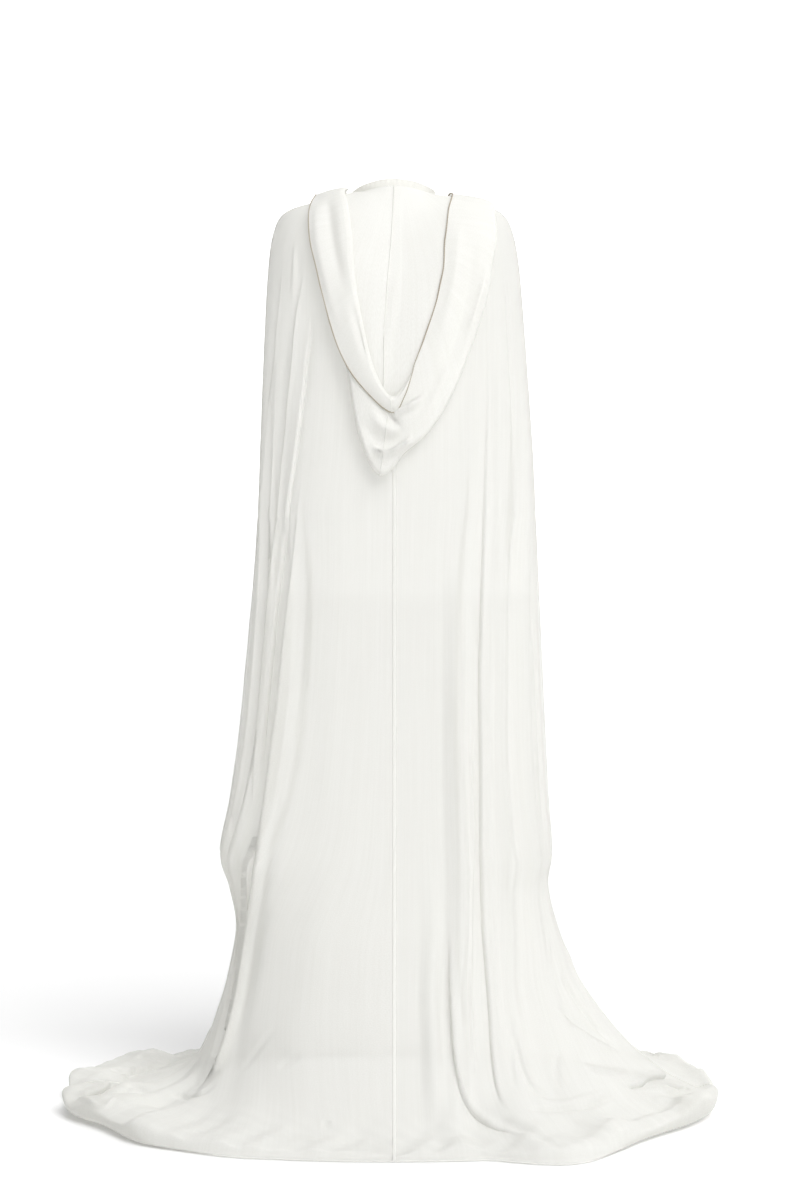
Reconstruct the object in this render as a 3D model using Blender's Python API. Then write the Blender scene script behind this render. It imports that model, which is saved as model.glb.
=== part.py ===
"""Hooded kaftan in sheer ivory cloth, in its worn hollow form, with a train that lies on the floor.

Metres, +Z up. The wearer faces -Y, and +X is the wearer's left. The origin is the middle of the
neck's base, where the garment is held. Each piece is a thin wall between an outer and an inner grid.
"""

import math

import bpy
import numpy as np

# Driving sizes
FLOOR = -1.600
WALL = 0.0015
HOOD_WALL = 0.0012
SEAM = 0.0003
BAND_HEIGHT = 0.013
BAND_WALL = 0.0030

# Plain finish of the cloth
BODY_COLOUR = (0.90, 0.88, 0.82)
HOOD_COLOUR = (0.93, 0.92, 0.88)
BAND_COLOUR = (0.89, 0.88, 0.82)
ROUGHNESS = 0.8

# Rings of the body from the neckline over the shoulders, down to the floor and out along the train.
# Each ring is a squared oval: half widths left and right, depth behind and in front of its middle,
# how far back that middle lies, height at the back, sides and front, squareness, and the direction
# of the deep fold on each side, in degrees from the middle of the back or of the front.
RING_COLUMNS = ("left", "right", "back", "front", "middle", "z_back", "z_side", "z_front", "square",
                "fold_left", "fold_right")
RINGS = (
    (0.074, 0.074, 0.072, 0.066, 0.000, 0.045, 0.030, -0.040, 2.0, 46, 46),
    (0.120, 0.120, 0.095, 0.088, 0.000, 0.004, 0.026, -0.072, 2.1, 50, 50),
    (0.172, 0.170, 0.110, 0.108, 0.000, -0.045, 0.016, -0.115, 2.2, 54, 54),
    (0.204, 0.200, 0.120, 0.122, 0.000, -0.092, -0.001, -0.160, 2.3, 57, 56),
    (0.219, 0.216, 0.127, 0.131, 0.000, -0.135, -0.034, -0.200, 2.5, 58, 57),
    (0.227, 0.226, 0.131, 0.136, 0.000, -0.180, -0.088, -0.240, 2.6, 57, 56),
    (0.232, 0.233, 0.134, 0.140, 0.000, -0.240, -0.165, -0.290, 2.7, 56, 55),
    (0.238, 0.243, 0.137, 0.145, 0.000, -0.340, -0.300, -0.370, 2.8, 55, 53),
    (0.243, 0.252, 0.140, 0.150, 0.000, -0.450, -0.435, -0.460, 2.8, 56, 52),
    (0.247, 0.257, 0.143, 0.153, 0.000, -0.545, -0.545, -0.545, 2.8, 58, 51),
    (0.255, 0.262, 0.148, 0.157, 0.000, -0.670, -0.670, -0.670, 2.8, 59, 50),
    (0.268, 0.268, 0.155, 0.162, 0.000, -0.810, -0.810, -0.810, 2.8, 60, 49),
    (0.281, 0.274, 0.164, 0.169, 0.000, -0.940, -0.940, -0.940, 2.7, 61, 47),
    (0.298, 0.280, 0.176, 0.178, 0.000, -1.060, -1.060, -1.060, 2.6, 62, 45),
    (0.316, 0.287, 0.188, 0.187, 0.000, -1.155, -1.155, -1.155, 2.5, 64, 43),
    (0.299, 0.280, 0.197, 0.194, 0.000, -1.215, -1.215, -1.215, 2.4, 68, 42),
    (0.286, 0.295, 0.208, 0.210, 0.005, -1.285, -1.285, -1.285, 2.3, 72, 40),
    (0.299, 0.328, 0.225, 0.238, 0.015, -1.370, -1.370, -1.370, 2.2, 72, 36),
    (0.319, 0.374, 0.253, 0.272, 0.025, -1.440, -1.440, -1.440, 2.2, 70, 33),
    (0.345, 0.432, 0.288, 0.315, 0.038, -1.505, -1.505, -1.505, 2.2, 66, 30),
    (0.385, 0.492, 0.322, 0.352, 0.050, -1.550, -1.550, -1.550, 2.2, 62, 28),
    (0.450, 0.540, 0.350, 0.380, 0.062, -1.580, -1.574, -1.580, 2.3, 59, 27),
    (0.530, 0.566, 0.370, 0.400, 0.072, -1.5900, -1.5660, -1.5900, 2.3, 57, 27),
    (0.582, 0.575, 0.382, 0.410, 0.080, -1.5940, -1.5760, -1.5940, 2.4, 56, 27),
    (0.570, 0.560, 0.391, 0.419, 0.080, -1.5960, -1.5930, -1.5960, 2.4, 56, 27),
    (0.520, 0.510, 0.402, 0.426, 0.080, -1.5984, -1.5983, -1.5984, 2.4, 56, 27),
)

# The side edge is open from the wrist down to the low tip of the wide sleeve. A power under 1
# opens it quickly at both ends.
WRIST_ROW = 9.0
TIP_ROW = 14.0
SLEEVE_GAP = {"back": 0.030, "front": 0.036}
SLEEVE_POWER = 0.7

# Long folds that hang from the shoulders. share is the place between the middle (0), the deep fold
# (0.5) and the side edge (1), at the fold's top and foot. depth is outward where positive. A fold
# grows to its full depth below its top, fades below its foot, and dies out before the train's edge.
FOLD_COLUMNS = ("face", "side", "share_top", "share_foot", "z_top", "z_foot", "width", "depth")
FOLDS = (
    ("back", "left", 0.57, 0.56, -0.08, -1.60, 0.075, -0.030),
    ("back", "left", 0.34, 0.33, -0.55, -1.60, 0.090, 0.010),
    ("back", "left", 0.72, 0.73, -0.20, -1.30, 0.065, -0.012),
    ("back", "left", 0.85, 0.85, -0.55, -1.28, 0.060, -0.008),
    ("back", "left", 0.15, 0.17, -0.95, -1.60, 0.090, 0.008),
    ("back", "right", 0.56, 0.55, -0.22, -1.60, 0.075, -0.028),
    ("back", "right", 0.38, 0.38, -0.55, -1.60, 0.080, 0.012),
    ("back", "right", 0.71, 0.69, -0.30, -1.60, 0.065, -0.012),
    ("back", "right", 0.85, 0.84, -0.45, -1.60, 0.065, -0.009),
    ("back", "right", 0.22, 0.26, -1.10, -1.60, 0.080, 0.012),
    ("front", "left", 0.50, 0.50, -0.14, -1.60, 0.085, -0.028),
    ("front", "left", 0.70, 0.72, -0.30, -1.60, 0.075, -0.012),
    ("front", "left", 0.25, 0.25, -0.60, -1.60, 0.100, 0.012),
    ("front", "right", 0.50, 0.50, -0.14, -1.60, 0.085, -0.028),
    ("front", "right", 0.72, 0.70, -0.30, -1.60, 0.075, -0.012),
    ("front", "right", 0.30, 0.28, -0.60, -1.60, 0.100, 0.010),
)
FOLD_GROWTH = 0.35
FOLD_FADE = 0.10
LAST_FOLDED_RING = 22
FADING_RINGS = 4

# Soft ridges that run outward where the train lies on the floor, and the waves of its outline.
TRAIN_COLUMNS = ("face", "side", "share", "width", "height", "reach")
TRAIN_WAVES = (
    ("back", "left", 0.30, 0.12, 0.006, 0.006),
    ("back", "left", 0.50, 0.10, 0.012, 0.000),
    ("back", "left", 0.66, 0.20, 0.000, -0.030),
    ("back", "left", 0.72, 0.08, 0.014, 0.000),
    ("back", "left", 0.90, 0.08, 0.012, 0.004),
    ("back", "right", 0.34, 0.10, 0.010, 0.000),
    ("back", "right", 0.60, 0.20, 0.004, 0.062),
    ("back", "right", 0.56, 0.07, 0.010, 0.000),
    ("back", "right", 0.74, 0.08, 0.014, 0.000),
    ("back", "right", 0.85, 0.12, 0.000, -0.024),
    ("back", "right", 0.92, 0.07, 0.016, 0.000),
    ("front", "left", 0.30, 0.14, 0.014, 0.016),
    ("front", "left", 0.62, 0.13, 0.018, -0.014),
    ("front", "left", 0.86, 0.11, 0.014, 0.010),
    ("front", "right", 0.36, 0.14, 0.014, -0.012),
    ("front", "right", 0.64, 0.13, 0.018, 0.018),
    ("front", "right", 0.88, 0.10, 0.012, 0.000),
)
TRAIN_RINGS = (18.0, 21.0, 22.6, 24.2)

# The hood is thrown back. From the neck its cloth hangs down the back, folds up at the bag and ends
# at the face edge, which is turned out over the left shoulder. Each station runs from the neck to
# the face edge, from the left front over the back to the right front. A place on the body is a
# share (0 middle of the back, 1 side line, 2 middle of the front, right side negative) and a ring.
HOOD_COLUMNS = ("neck", "bag", "bag_ring", "roll", "roll_ring", "edge", "edge_ring", "turned")
HOOD_STATIONS = (
    (1.95, 1.95, 0.95, 1.94, 0.35, 1.96, 1.05, 1.0),
    (1.75, 1.72, 1.10, 1.74, 0.32, 1.73, 1.25, 1.0),
    (1.50, 1.46, 1.25, 1.47, 0.32, 1.44, 1.42, 1.0),
    (1.24, 1.18, 1.40, 1.20, 0.32, 1.15, 1.55, 1.0),
    (0.98, 0.92, 1.50, 0.96, 0.32, 0.90, 1.64, 1.0),
    (0.74, 0.69, 1.72, 0.72, 0.42, 0.70, 1.88, 1.0),
    (0.54, 0.48, 2.60, 0.40, 1.40, 0.53, 2.85, 1.0),
    (0.40, 0.395, 4.00, 0.27, 2.54, 0.427, 4.20, 1.0),
    (0.30, 0.350, 5.00, 0.216, 3.73, 0.380, 5.18, 1.0),
    (0.22, 0.305, 5.98, 0.180, 4.70, 0.332, 6.00, 1.0),
    (0.15, 0.250, 6.72, 0.150, 5.30, 0.268, 6.52, 1.0),
    (0.08, 0.190, 7.55, 0.095, 6.00, 0.170, 6.88, 1.0),
    (0.00, 0.068, 8.26, 0.016, 6.33, 0.016, 7.24, 1.0),
    (-0.08, -0.060, 7.87, -0.090, 6.23, -0.125, 7.14, 1.0),
    (-0.15, -0.190, 7.60, -0.165, 6.05, -0.215, 6.90, 1.0),
    (-0.23, -0.300, 7.20, -0.222, 5.80, -0.242, 6.33, 1.0),
    (-0.31, -0.400, 6.58, -0.264, 5.40, -0.230, 5.35, 0.92),
    (-0.43, -0.495, 5.70, -0.300, 4.42, -0.262, 4.42, 0.0),
    (-0.58, -0.560, 4.40, -0.355, 3.00, -0.318, 2.98, 0.0),
    (-0.78, -0.690, 2.90, -0.510, 1.80, -0.460, 1.62, 0.0),
    (-1.00, -0.920, 2.00, -0.890, 0.80, -0.854, 0.52, 0.0),
    (-1.25, -1.200, 1.72, -1.200, 0.70, -1.200, 0.40, 0.0),
    (-1.50, -1.470, 1.45, -1.480, 0.65, -1.480, 0.36, 0.0),
    (-1.75, -1.730, 1.20, -1.740, 0.60, -1.740, 0.35, 0.0),
    (-1.95, -1.950, 0.95, -1.950, 0.55, -1.950, 0.35, 0.0),
)
HOOD_MIDDLE = 12
NECK_RING = 0.07
LIFT_STEP = 0.004
UPWARD = 0.05

# Heights of the hood's layers over the body at its two front ends, how much more they stand off
# round the open mouth at the back, and how round its folds are.
INNER_LIFT = (0.0024, 0.0045)
OUTER_LIFT = 0.0100
FLAP_STEP = 0.0065
MOUTH_LIFT = 0.0210
MOUTH_STEP = 0.0050
INNER_BULGE = 0.0030
BAG_BULGE = 0.0060
TURN = 0.012
LARGEST_TURN = 0.3

# How finely the grids are cut
BACK_SHARES = (*np.linspace(0.0, 0.42, 7), *np.linspace(0.47, 0.95, 13), 1.0)
FRONT_SHARES = (*np.linspace(0.0, 0.40, 5), *np.linspace(0.46, 0.94, 9), 1.0)
HOOD_LEGS = (8, 4, 2)
HOOD_TURN_STEPS = 4
NECK_RINGS = 4


def smooth(values, at):
    """Values of a table's column at fractional rows, on a smooth curve through its rows."""
    values = np.asarray(values, dtype=float)
    last = len(values) - 1
    at = np.clip(np.asarray(at, dtype=float), 0.0, last)
    low = np.minimum(at.astype(int), last - 1)
    part = at - low
    before = values[np.maximum(low - 1, 0)]
    start = values[low]
    end = values[low + 1]
    after = values[np.minimum(low + 2, last)]
    slope_start = (end - before) / 2
    slope_end = (after - start) / 2
    square = part * part
    cube = square * part
    return ((2 * cube - 3 * square + 1) * start + (cube - 2 * square + part) * slope_start
            + (3 * square - 2 * cube) * end + (cube - square) * slope_end)


def ramp(value):
    """A soft step from 0 to 1."""
    value = np.clip(value, 0.0, 1.0)
    return value * value * (3 - 2 * value)


def ring(name, rows):
    """One column of the ring table at fractional rows."""
    place = RING_COLUMNS.index(name)
    return smooth([row[place] for row in RINGS], rows)


def side_gap(face, rows):
    """Distance of a panel's side edge from the side line: half a seam, or the open sleeve."""
    along = np.clip((rows - WRIST_ROW) / (TIP_ROW - WRIST_ROW), 0.0, 1.0)
    return SEAM / 2 + SLEEVE_GAP[face] * np.sin(np.pi * along) ** SLEEVE_POWER


def fold_depth(face, side, share, height, rows):
    """How far the long folds move the cloth outward. They die out where it lies on the floor."""
    depth = np.zeros_like(share)
    for row in FOLDS:
        fold = dict(zip(FOLD_COLUMNS, row))
        if (fold["face"], fold["side"]) != (face, side):
            continue
        fall = (fold["z_top"] - height) / (fold["z_top"] - fold["z_foot"])
        middle = fold["share_top"] + (fold["share_foot"] - fold["share_top"]) * np.clip(fall, 0, 1)
        off = np.clip(np.abs(share - middle) / fold["width"], 0.0, 1.0)
        grown = ramp((fold["z_top"] - height) / FOLD_GROWTH)
        if fold["z_foot"] > FLOOR:
            grown = grown * ramp((height - fold["z_foot"]) / FOLD_FADE + 1.0)
        depth += fold["depth"] * grown * 0.5 * (1 + np.cos(np.pi * off))
    return depth * ramp((LAST_FOLDED_RING - rows) / FADING_RINGS)


def train_waves(face, side, share, rows):
    """How far the waves of the train lift the cloth and carry its outline outward."""
    lift = np.zeros_like(share)
    reach = np.zeros_like(share)
    start, full, high, end = TRAIN_RINGS
    lifted = ramp((rows - start) / (full - start)) * ramp((end - rows) / (end - high))
    carried = ramp((rows - start) / (high - start))
    for row in TRAIN_WAVES:
        wave = dict(zip(TRAIN_COLUMNS, row))
        if (wave["face"], wave["side"]) != (face, side):
            continue
        off = np.clip(np.abs(share - wave["share"]) / wave["width"], 0.0, 1.0)
        bump = 0.5 * (1 + np.cos(np.pi * off))
        lift += wave["height"] * bump * lifted
        reach += wave["reach"] * bump * carried
    return lift, reach


def body(face, side, share, rows, folded=True, seamed=True):
    """Points of the body's outer face, for shares from the middle of a face to its side edge."""
    share, rows = np.broadcast_arrays(np.asarray(share, float), np.asarray(rows, float))
    half = ring(side, rows)
    depth = ring(face, rows)
    square = ring("square", rows)
    gap = side_gap(face, rows) if seamed else np.zeros_like(rows)
    edge_angle = np.arccos(np.clip(gap / half, 0.0, 1.0))
    spread = 90 / ring("fold_" + side, rows) - 1
    angle = edge_angle * share / (share + spread * (1 - share))
    across = np.abs(np.sin(angle))
    along = np.abs(np.cos(angle))
    radius = ((across / half) ** square + (along / depth) ** square) ** (-1 / square)
    height = ring("z_" + face, rows) * along ** 2 + ring("z_side", rows) * across ** 2
    if folded:
        lift, reach = train_waves(face, side, share, rows)
        radius = radius + fold_depth(face, side, share, height, rows) + reach
        height = height + lift
    x = radius * across
    y = radius * along
    x_sign = 1 if side == "left" else -1
    y_sign = 1 if face == "back" else -1
    return np.stack((x * x_sign, ring("middle", rows) + y * y_sign, height), axis=-1)


def courses(grid, axis):
    """Direction of a grid's lines at each point, halfway between the stretches on its two sides."""
    steps = np.diff(grid, axis=axis)
    steps /= np.linalg.norm(steps, axis=-1, keepdims=True)
    first, last = np.take(steps, [0], axis=axis), np.take(steps, [-1], axis=axis)
    return np.concatenate((first, steps), axis=axis) + np.concatenate((steps, last), axis=axis)


def normals(grid):
    """Unit normals of a grid of points, all on one side."""
    normal = np.cross(courses(grid, 0), courses(grid, 1))
    return normal / np.linalg.norm(normal, axis=-1, keepdims=True)


def turned_out(normal, grid):
    """The same normals, all on the side that faces away from the middle."""
    away = grid * np.array((1.0, 1.0, 0.0))
    return normal if np.sum(normal * away) > 0 else -normal


def material(name, colour, roughness):
    """The plain finish of one piece."""
    finish = bpy.data.materials.new(name)
    finish.use_nodes = True
    shader = finish.node_tree.nodes["Principled BSDF"]
    shader.inputs["Base Color"].default_value = (*colour, 1.0)
    shader.inputs["Roughness"].default_value = roughness
    shader.inputs["Metallic"].default_value = 0.0
    return finish


def cloth(name, outer, inner, colour, closed=False):
    """One closed piece of cloth from its outer and inner grids, which share their edges' walls."""
    rows, columns = outer.shape[:2]
    points = np.concatenate((outer.reshape(-1, 3), inner.reshape(-1, 3)))
    back = rows * columns

    def at(row, column):
        return row * columns + column % columns

    faces = []
    steps = columns if closed else columns - 1
    for row in range(rows - 1):
        for column in range(steps):
            a, b = at(row, column), at(row, column + 1)
            c, d = at(row + 1, column + 1), at(row + 1, column)
            faces += [(a, b, c), (a, c, d)]
            faces += [(back + c, back + b, back + a), (back + d, back + c, back + a)]
    rim = [(at(0, column + 1), at(0, column)) for column in range(steps)]
    rim += [(at(rows - 1, column), at(rows - 1, column + 1)) for column in range(steps)]
    if not closed:
        rim += [(at(row, 0), at(row + 1, 0)) for row in range(rows - 1)]
        rim += [(at(row + 1, columns - 1), at(row, columns - 1)) for row in range(rows - 1)]
    for a, b in rim:
        faces += [(a, b, back + b), (a, back + b, back + a)]
    mesh = bpy.data.meshes.new(name)
    mesh.from_pydata([tuple(point) for point in points], [], faces)
    if volume(points, faces) < 0:
        mesh.flip_normals()
    mesh.shade_smooth()
    mesh.materials.append(material(name + "_cloth", colour, ROUGHNESS))
    piece = bpy.data.objects.new(name, mesh)
    bpy.context.scene.collection.objects.link(piece)
    return piece


def volume(points, faces):
    """Signed volume inside closed faces, positive where they face outward."""
    corners = points[np.array(faces)]
    return np.sum(np.cross(corners[:, 0], corners[:, 1]) * corners[:, 2]) / 6


def panel_rows():
    """Rows of the panels' grids: each ring, and one between the rings round the neck."""
    between = np.arange(NECK_RINGS) + 0.5
    return np.sort(np.concatenate((np.arange(len(RINGS)), between)))


def back_half(side):
    """One half of the back, cut in one with the back of its wide sleeve."""
    share, rows = np.meshgrid(BACK_SHARES, panel_rows())
    outer = body("back", side, share, rows)
    normal = turned_out(normals(outer), outer)
    normal[:, 0, 0] = 0
    closed = side_gap("back", rows[:, -1]) < SEAM
    normal[closed, -1, 1] = 0
    normal /= np.linalg.norm(normal, axis=-1, keepdims=True)
    inner = outer - normal * WALL
    shift = SEAM / 2 if side == "left" else -SEAM / 2
    step = np.array((shift, 0, 0))
    return cloth("back_panel_" + side, outer + step, inner + step, BODY_COLOUR)


def front():
    """The whole front, cut in one with the fronts of both wide sleeves."""
    ways = [("left", share) for share in FRONT_SHARES[::-1]]
    ways += [("right", share) for share in FRONT_SHARES[1:]]
    rows = panel_rows()
    columns = [body("front", side, np.full_like(rows, share), rows) for side, share in ways]
    outer = np.stack(columns, axis=1)
    normal = turned_out(normals(outer), outer)
    closed = side_gap("front", rows) < SEAM
    normal[closed, 0, 1] = 0
    normal[closed, -1, 1] = 0
    normal /= np.linalg.norm(normal, axis=-1, keepdims=True)
    return cloth("front_panel", outer, outer - normal * WALL, BODY_COLOUR)


def smooth_body(place, rows):
    """Points of the body without folds or openings, for places from the back to the front."""
    points = np.zeros(np.shape(place) + (3,))
    for side, on_side in (("left", place >= 0), ("right", place < 0)):
        for face, on_face in (("back", np.abs(place) <= 1), ("front", np.abs(place) > 1)):
            here = on_side & on_face
            share = np.abs(place[here]) if face == "back" else 2 - np.abs(place[here])
            points[here] = body(face, side, share, rows[here], folded=False, seamed=False)
    return points


def over_body(place, rows, lift):
    """Points at a lift over the smooth body. Up counts as outward too, for the shoulders."""
    place, rows, lift = np.broadcast_arrays(place, rows, lift)
    across = smooth_body(place + LIFT_STEP, rows) - smooth_body(place - LIFT_STEP, rows)
    down = smooth_body(place, rows + LIFT_STEP) - smooth_body(place, rows - LIFT_STEP)
    normal = np.cross(down, across)
    normal /= np.linalg.norm(normal, axis=-1, keepdims=True)
    points = smooth_body(place, rows)
    away = points * (1, 1, 0) + (0, 0, UPWARD)
    outward = np.sum(normal * away, axis=-1, keepdims=True)
    return points + normal * np.sign(outward) * lift[..., None]


def hood_profile(station):
    """One section of the hood from the neck to the face edge, as places, rings and lifts."""
    size = dict(zip(HOOD_COLUMNS, (smooth([row[k] for row in HOOD_STATIONS], station)
                                   for k in range(len(HOOD_COLUMNS)))))
    neck = np.array((size["neck"], NECK_RING))
    bag = np.array((size["bag"], size["bag_ring"]))
    roll = np.array((size["roll"], size["roll_ring"]))
    edge = np.array((size["edge"], size["edge_ring"]))
    places, rings = np.stack((neck, bag, roll, edge), axis=1)
    corners = over_body(places, rings, 0.0)
    length = np.linalg.norm(np.diff(corners, axis=0), axis=1)
    gape = math.sin(math.pi * station / (len(HOOD_STATIONS) - 1)) ** 3
    outer = OUTER_LIFT + MOUTH_LIFT * gape
    flap = outer + (FLAP_STEP + MOUTH_STEP * gape) * size["turned"]
    bulge = BAG_BULGE * gape
    turn = np.minimum(TURN / length, LARGEST_TURN)
    points = []

    def leg(start, end, cut_start, cut_end, lift_start, lift_end, bulge, steps):
        for step in np.linspace(0, 1, steps + 1):
            along = cut_start + (1 - cut_start - cut_end) * step
            lift = lift_start + (lift_end - lift_start) * step + bulge * math.sin(math.pi * along)
            points.append((*(start + (end - start) * along), lift))

    def fold(before, at, after, cut_before, cut_after, lift_before, lift_after, bulge):
        for step in range(1, HOOD_TURN_STEPS):
            way = -math.pi / 2 + math.pi * step / HOOD_TURN_STEPS
            pull = 1 - math.cos(way)
            other, cut = (before, cut_before) if way < 0 else (after, cut_after)
            lift = (lift_before + lift_after) / 2 + (lift_after - lift_before) / 2 * math.sin(way)
            lift += bulge * math.sin(math.pi * cut) * pull
            points.append((*(at + (other - at) * cut * pull), lift))

    leg(neck, bag, 0.0, turn[0], *INNER_LIFT, INNER_BULGE, HOOD_LEGS[0])
    fold(neck, bag, roll, turn[0], turn[1], INNER_LIFT[1], outer, 0.0)
    leg(bag, roll, turn[1], turn[1], outer, outer, bulge, HOOD_LEGS[1])
    fold(bag, roll, edge, turn[1], turn[2], outer, flap, 0.0)
    leg(roll, edge, turn[2], 0.0, flap, flap + bulge * size["turned"], 0.0, HOOD_LEGS[2])
    return np.array(points)


def hood():
    """Both halves of the hood, 0.3 mm apart at the seam that runs from the neck to the tip."""
    stations = np.linspace(0, len(HOOD_STATIONS) - 1, 2 * len(HOOD_STATIONS) - 1)
    profiles = np.stack([hood_profile(station) for station in stations], axis=1)
    sheet = over_body(profiles[..., 0], profiles[..., 1], profiles[..., 2])
    normal = normals(sheet)
    under = over_body(profiles[..., 0], profiles[..., 1], profiles[..., 2] - HOOD_WALL) - sheet
    if np.sum(normal[0] * under[0]) < 0:
        normal = -normal
    backing = sheet + normal * HOOD_WALL
    middle = 2 * HOOD_MIDDLE
    apart = np.array((SEAM / 2, 0, 0))
    cloth("hood_left", sheet[:, :middle + 1] + apart, backing[:, :middle + 1] + apart, HOOD_COLOUR)
    cloth("hood_right", sheet[:, middle:] - apart, backing[:, middle:] - apart, HOOD_COLOUR)


def neckband():
    """The narrow doubled band that stands on the neckline, over the seam of the body and the hood."""
    ways = [("back", "left", share) for share in BACK_SHARES]
    ways += [("front", "left", share) for share in FRONT_SHARES[-2::-1]]
    ways += [("front", "right", share) for share in FRONT_SHARES[1:]]
    ways += [("back", "right", share) for share in BACK_SHARES[-2:0:-1]]
    rim = np.array([body(face, side, share, 0.0, seamed=False) for face, side, share in ways])
    outward = rim * (1, 1, 0)
    outward /= np.linalg.norm(outward, axis=1, keepdims=True)
    foot = rim + (0, 0, SEAM)
    top = foot + (0, 0, BAND_HEIGHT)
    outer = np.stack((top, foot)) + outward * BAND_WALL / 2
    inner = np.stack((top, foot)) - outward * BAND_WALL / 2
    return cloth("neckband", outer, inner, BAND_COLOUR, closed=True)


def clear_scene():
    """Start from an empty scene."""
    for old in list(bpy.data.objects):
        bpy.data.objects.remove(old)


clear_scene()
back_half("left")
back_half("right")
front()
hood()
neckband()
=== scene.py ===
"""Sheer hooded kaftan seen from behind: the finish and fine form of each cut piece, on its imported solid.

Metres, +Z up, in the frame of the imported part. The wearer faces -Y, and +X is the wearer's left.
"""

import math

import bpy
import numpy as np
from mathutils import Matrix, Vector


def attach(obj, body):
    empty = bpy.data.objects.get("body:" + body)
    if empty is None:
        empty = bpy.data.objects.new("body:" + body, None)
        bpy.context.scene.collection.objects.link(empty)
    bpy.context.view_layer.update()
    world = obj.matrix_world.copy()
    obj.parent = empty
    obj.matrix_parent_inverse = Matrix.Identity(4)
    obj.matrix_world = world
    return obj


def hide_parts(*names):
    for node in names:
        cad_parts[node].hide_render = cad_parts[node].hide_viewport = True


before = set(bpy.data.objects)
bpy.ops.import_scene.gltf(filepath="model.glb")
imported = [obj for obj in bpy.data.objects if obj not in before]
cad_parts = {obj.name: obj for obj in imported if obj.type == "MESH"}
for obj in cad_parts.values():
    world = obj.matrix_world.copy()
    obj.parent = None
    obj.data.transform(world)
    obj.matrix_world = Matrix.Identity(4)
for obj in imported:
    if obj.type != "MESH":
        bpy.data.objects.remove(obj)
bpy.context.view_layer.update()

# Studio: a wide pale floor in a white surround. A large soft light stands high behind the camera, on
# the wearer's right, with a weak disk low beside it. The surround is brightest beyond the garment, and
# dims towards the camera, a little on the wearer's right and most on the left.
scene = bpy.context.scene
FLOOR = -1.600
FLOOR_SIZE = 60.0
FLOOR_COLOUR = (0.96, 0.96, 0.96, 1.0)
FLOOR_ROUGHNESS = 0.9
BELOW_HEM = 0.0006
SURROUND = 1.42
DIM_SIDE = 0.20
DIM_FROM = 0.15
DIM_FULL = 0.60
RIGHT_SIDE = 0.60
RIGHT_FROM = -0.20
RIGHT_FULL = -0.60
NEAR_SIDE = 0.60
NEAR_FROM = -0.60
NEAR_FULL = 0.10
TOP_LIGHT = 2.20
TOP_PLACE = (-1.0, 1.65, 2.25)
TOP_AIM = (0.0, 0.0, 0.0)
TOP_SPREAD = 40.0
SIDE_LIGHT = 7.0
SIDE_PLACE = (-2.6, 3.4, 0.4)
SIDE_AIM = (0.0, 0.0, -0.8)
SIDE_SIZE = 2.4
CAMERA_BACK = 4.6
CAMERA_HEIGHT = 1.05
PIXELS_HIGH = 1200
FOCAL_PIXELS = 2527
HORIZON_PIXEL = 518
CENTRE_PIXEL = 400
MIDDLE_PIXEL = 394
FILM = 36.0


class Wire:
    """A value in a shader. A sum or product with it adds a Math node."""

    def __init__(self, finish, socket):
        self.finish = finish
        self.socket = socket

    def maths(self, operation, first, second):
        return self.finish.node("ShaderNodeMath", {"operation": operation}, {0: first, 1: second})

    def __add__(self, other):
        return self.maths("ADD", self, other)

    def __radd__(self, other):
        return self.maths("ADD", other, self)

    def __mul__(self, other):
        return self.maths("MULTIPLY", self, other)

    def __rmul__(self, other):
        return self.maths("MULTIPLY", other, self)


class Finish:
    """A node tree under construction, for a material or the surround."""

    def __init__(self, owner):
        owner.use_nodes = True
        self.tree = owner.node_tree
        self.tree.nodes.clear()

    def node(self, kind, settings=None, inputs=None, output=0):
        made = self.tree.nodes.new(kind)
        for name, value in (settings or {}).items():
            setattr(made, name, value)
        for name, value in (inputs or {}).items():
            if isinstance(value, Wire):
                self.tree.links.new(value.socket, made.inputs[name])
            else:
                made.inputs[name].default_value = value
        return Wire(self, made.outputs[output]) if len(made.outputs) else made

    def step(self, value, low, high, start=0.0, end=1.0):
        """A soft step from start to end while value goes from low to high."""
        settings = {"interpolation_type": "SMOOTHSTEP", "clamp": True}
        inputs = {"Value": value, "From Min": low, "From Max": high, "To Min": start, "To Max": end}
        return self.node("ShaderNodeMapRange", settings, inputs)


def plain_floor():
    """One large square just under the hem, painted pale and matt."""
    half = FLOOR_SIZE / 2
    corners = [(-half, -half), (half, -half), (half, half), (-half, half)]
    mesh = bpy.data.meshes.new("floor")
    mesh.from_pydata([(x, y, FLOOR - BELOW_HEM) for x, y in corners], [], [(0, 1, 2, 3)])
    floor = bpy.data.objects.new("floor", mesh)
    scene.collection.objects.link(floor)
    material = bpy.data.materials.new("painted_floor")
    finish = Finish(material)
    paint = {"Base Color": FLOOR_COLOUR, "Roughness": FLOOR_ROUGHNESS}
    shader = finish.node("ShaderNodeBsdfPrincipled", {}, paint)
    finish.node("ShaderNodeOutputMaterial", {}, {"Surface": shader})
    mesh.materials.append(material)


def surround():
    """White all round, dimmed at three sides, so that the cloth has a lit and a shaded side."""
    scene.world = bpy.data.worlds.new("surround")
    finish = Finish(scene.world)
    way = finish.node("ShaderNodeTexCoord", {}, {}, "Generated")
    across = finish.node("ShaderNodeSeparateXYZ", {}, {"Vector": way}, "X")
    along = finish.node("ShaderNodeSeparateXYZ", {}, {"Vector": way}, "Y")
    side = finish.step(across, DIM_FROM, DIM_FULL, 1.0, DIM_SIDE)
    side = side * finish.step(across, RIGHT_FULL, RIGHT_FROM, RIGHT_SIDE, 1.0)
    strength = side * finish.step(along, NEAR_FROM, NEAR_FULL, SURROUND, NEAR_SIDE)
    light = finish.node("ShaderNodeBackground", {}, {"Color": (1, 1, 1, 1), "Strength": strength})
    finish.node("ShaderNodeOutputWorld", {}, {"Surface": light})


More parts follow.
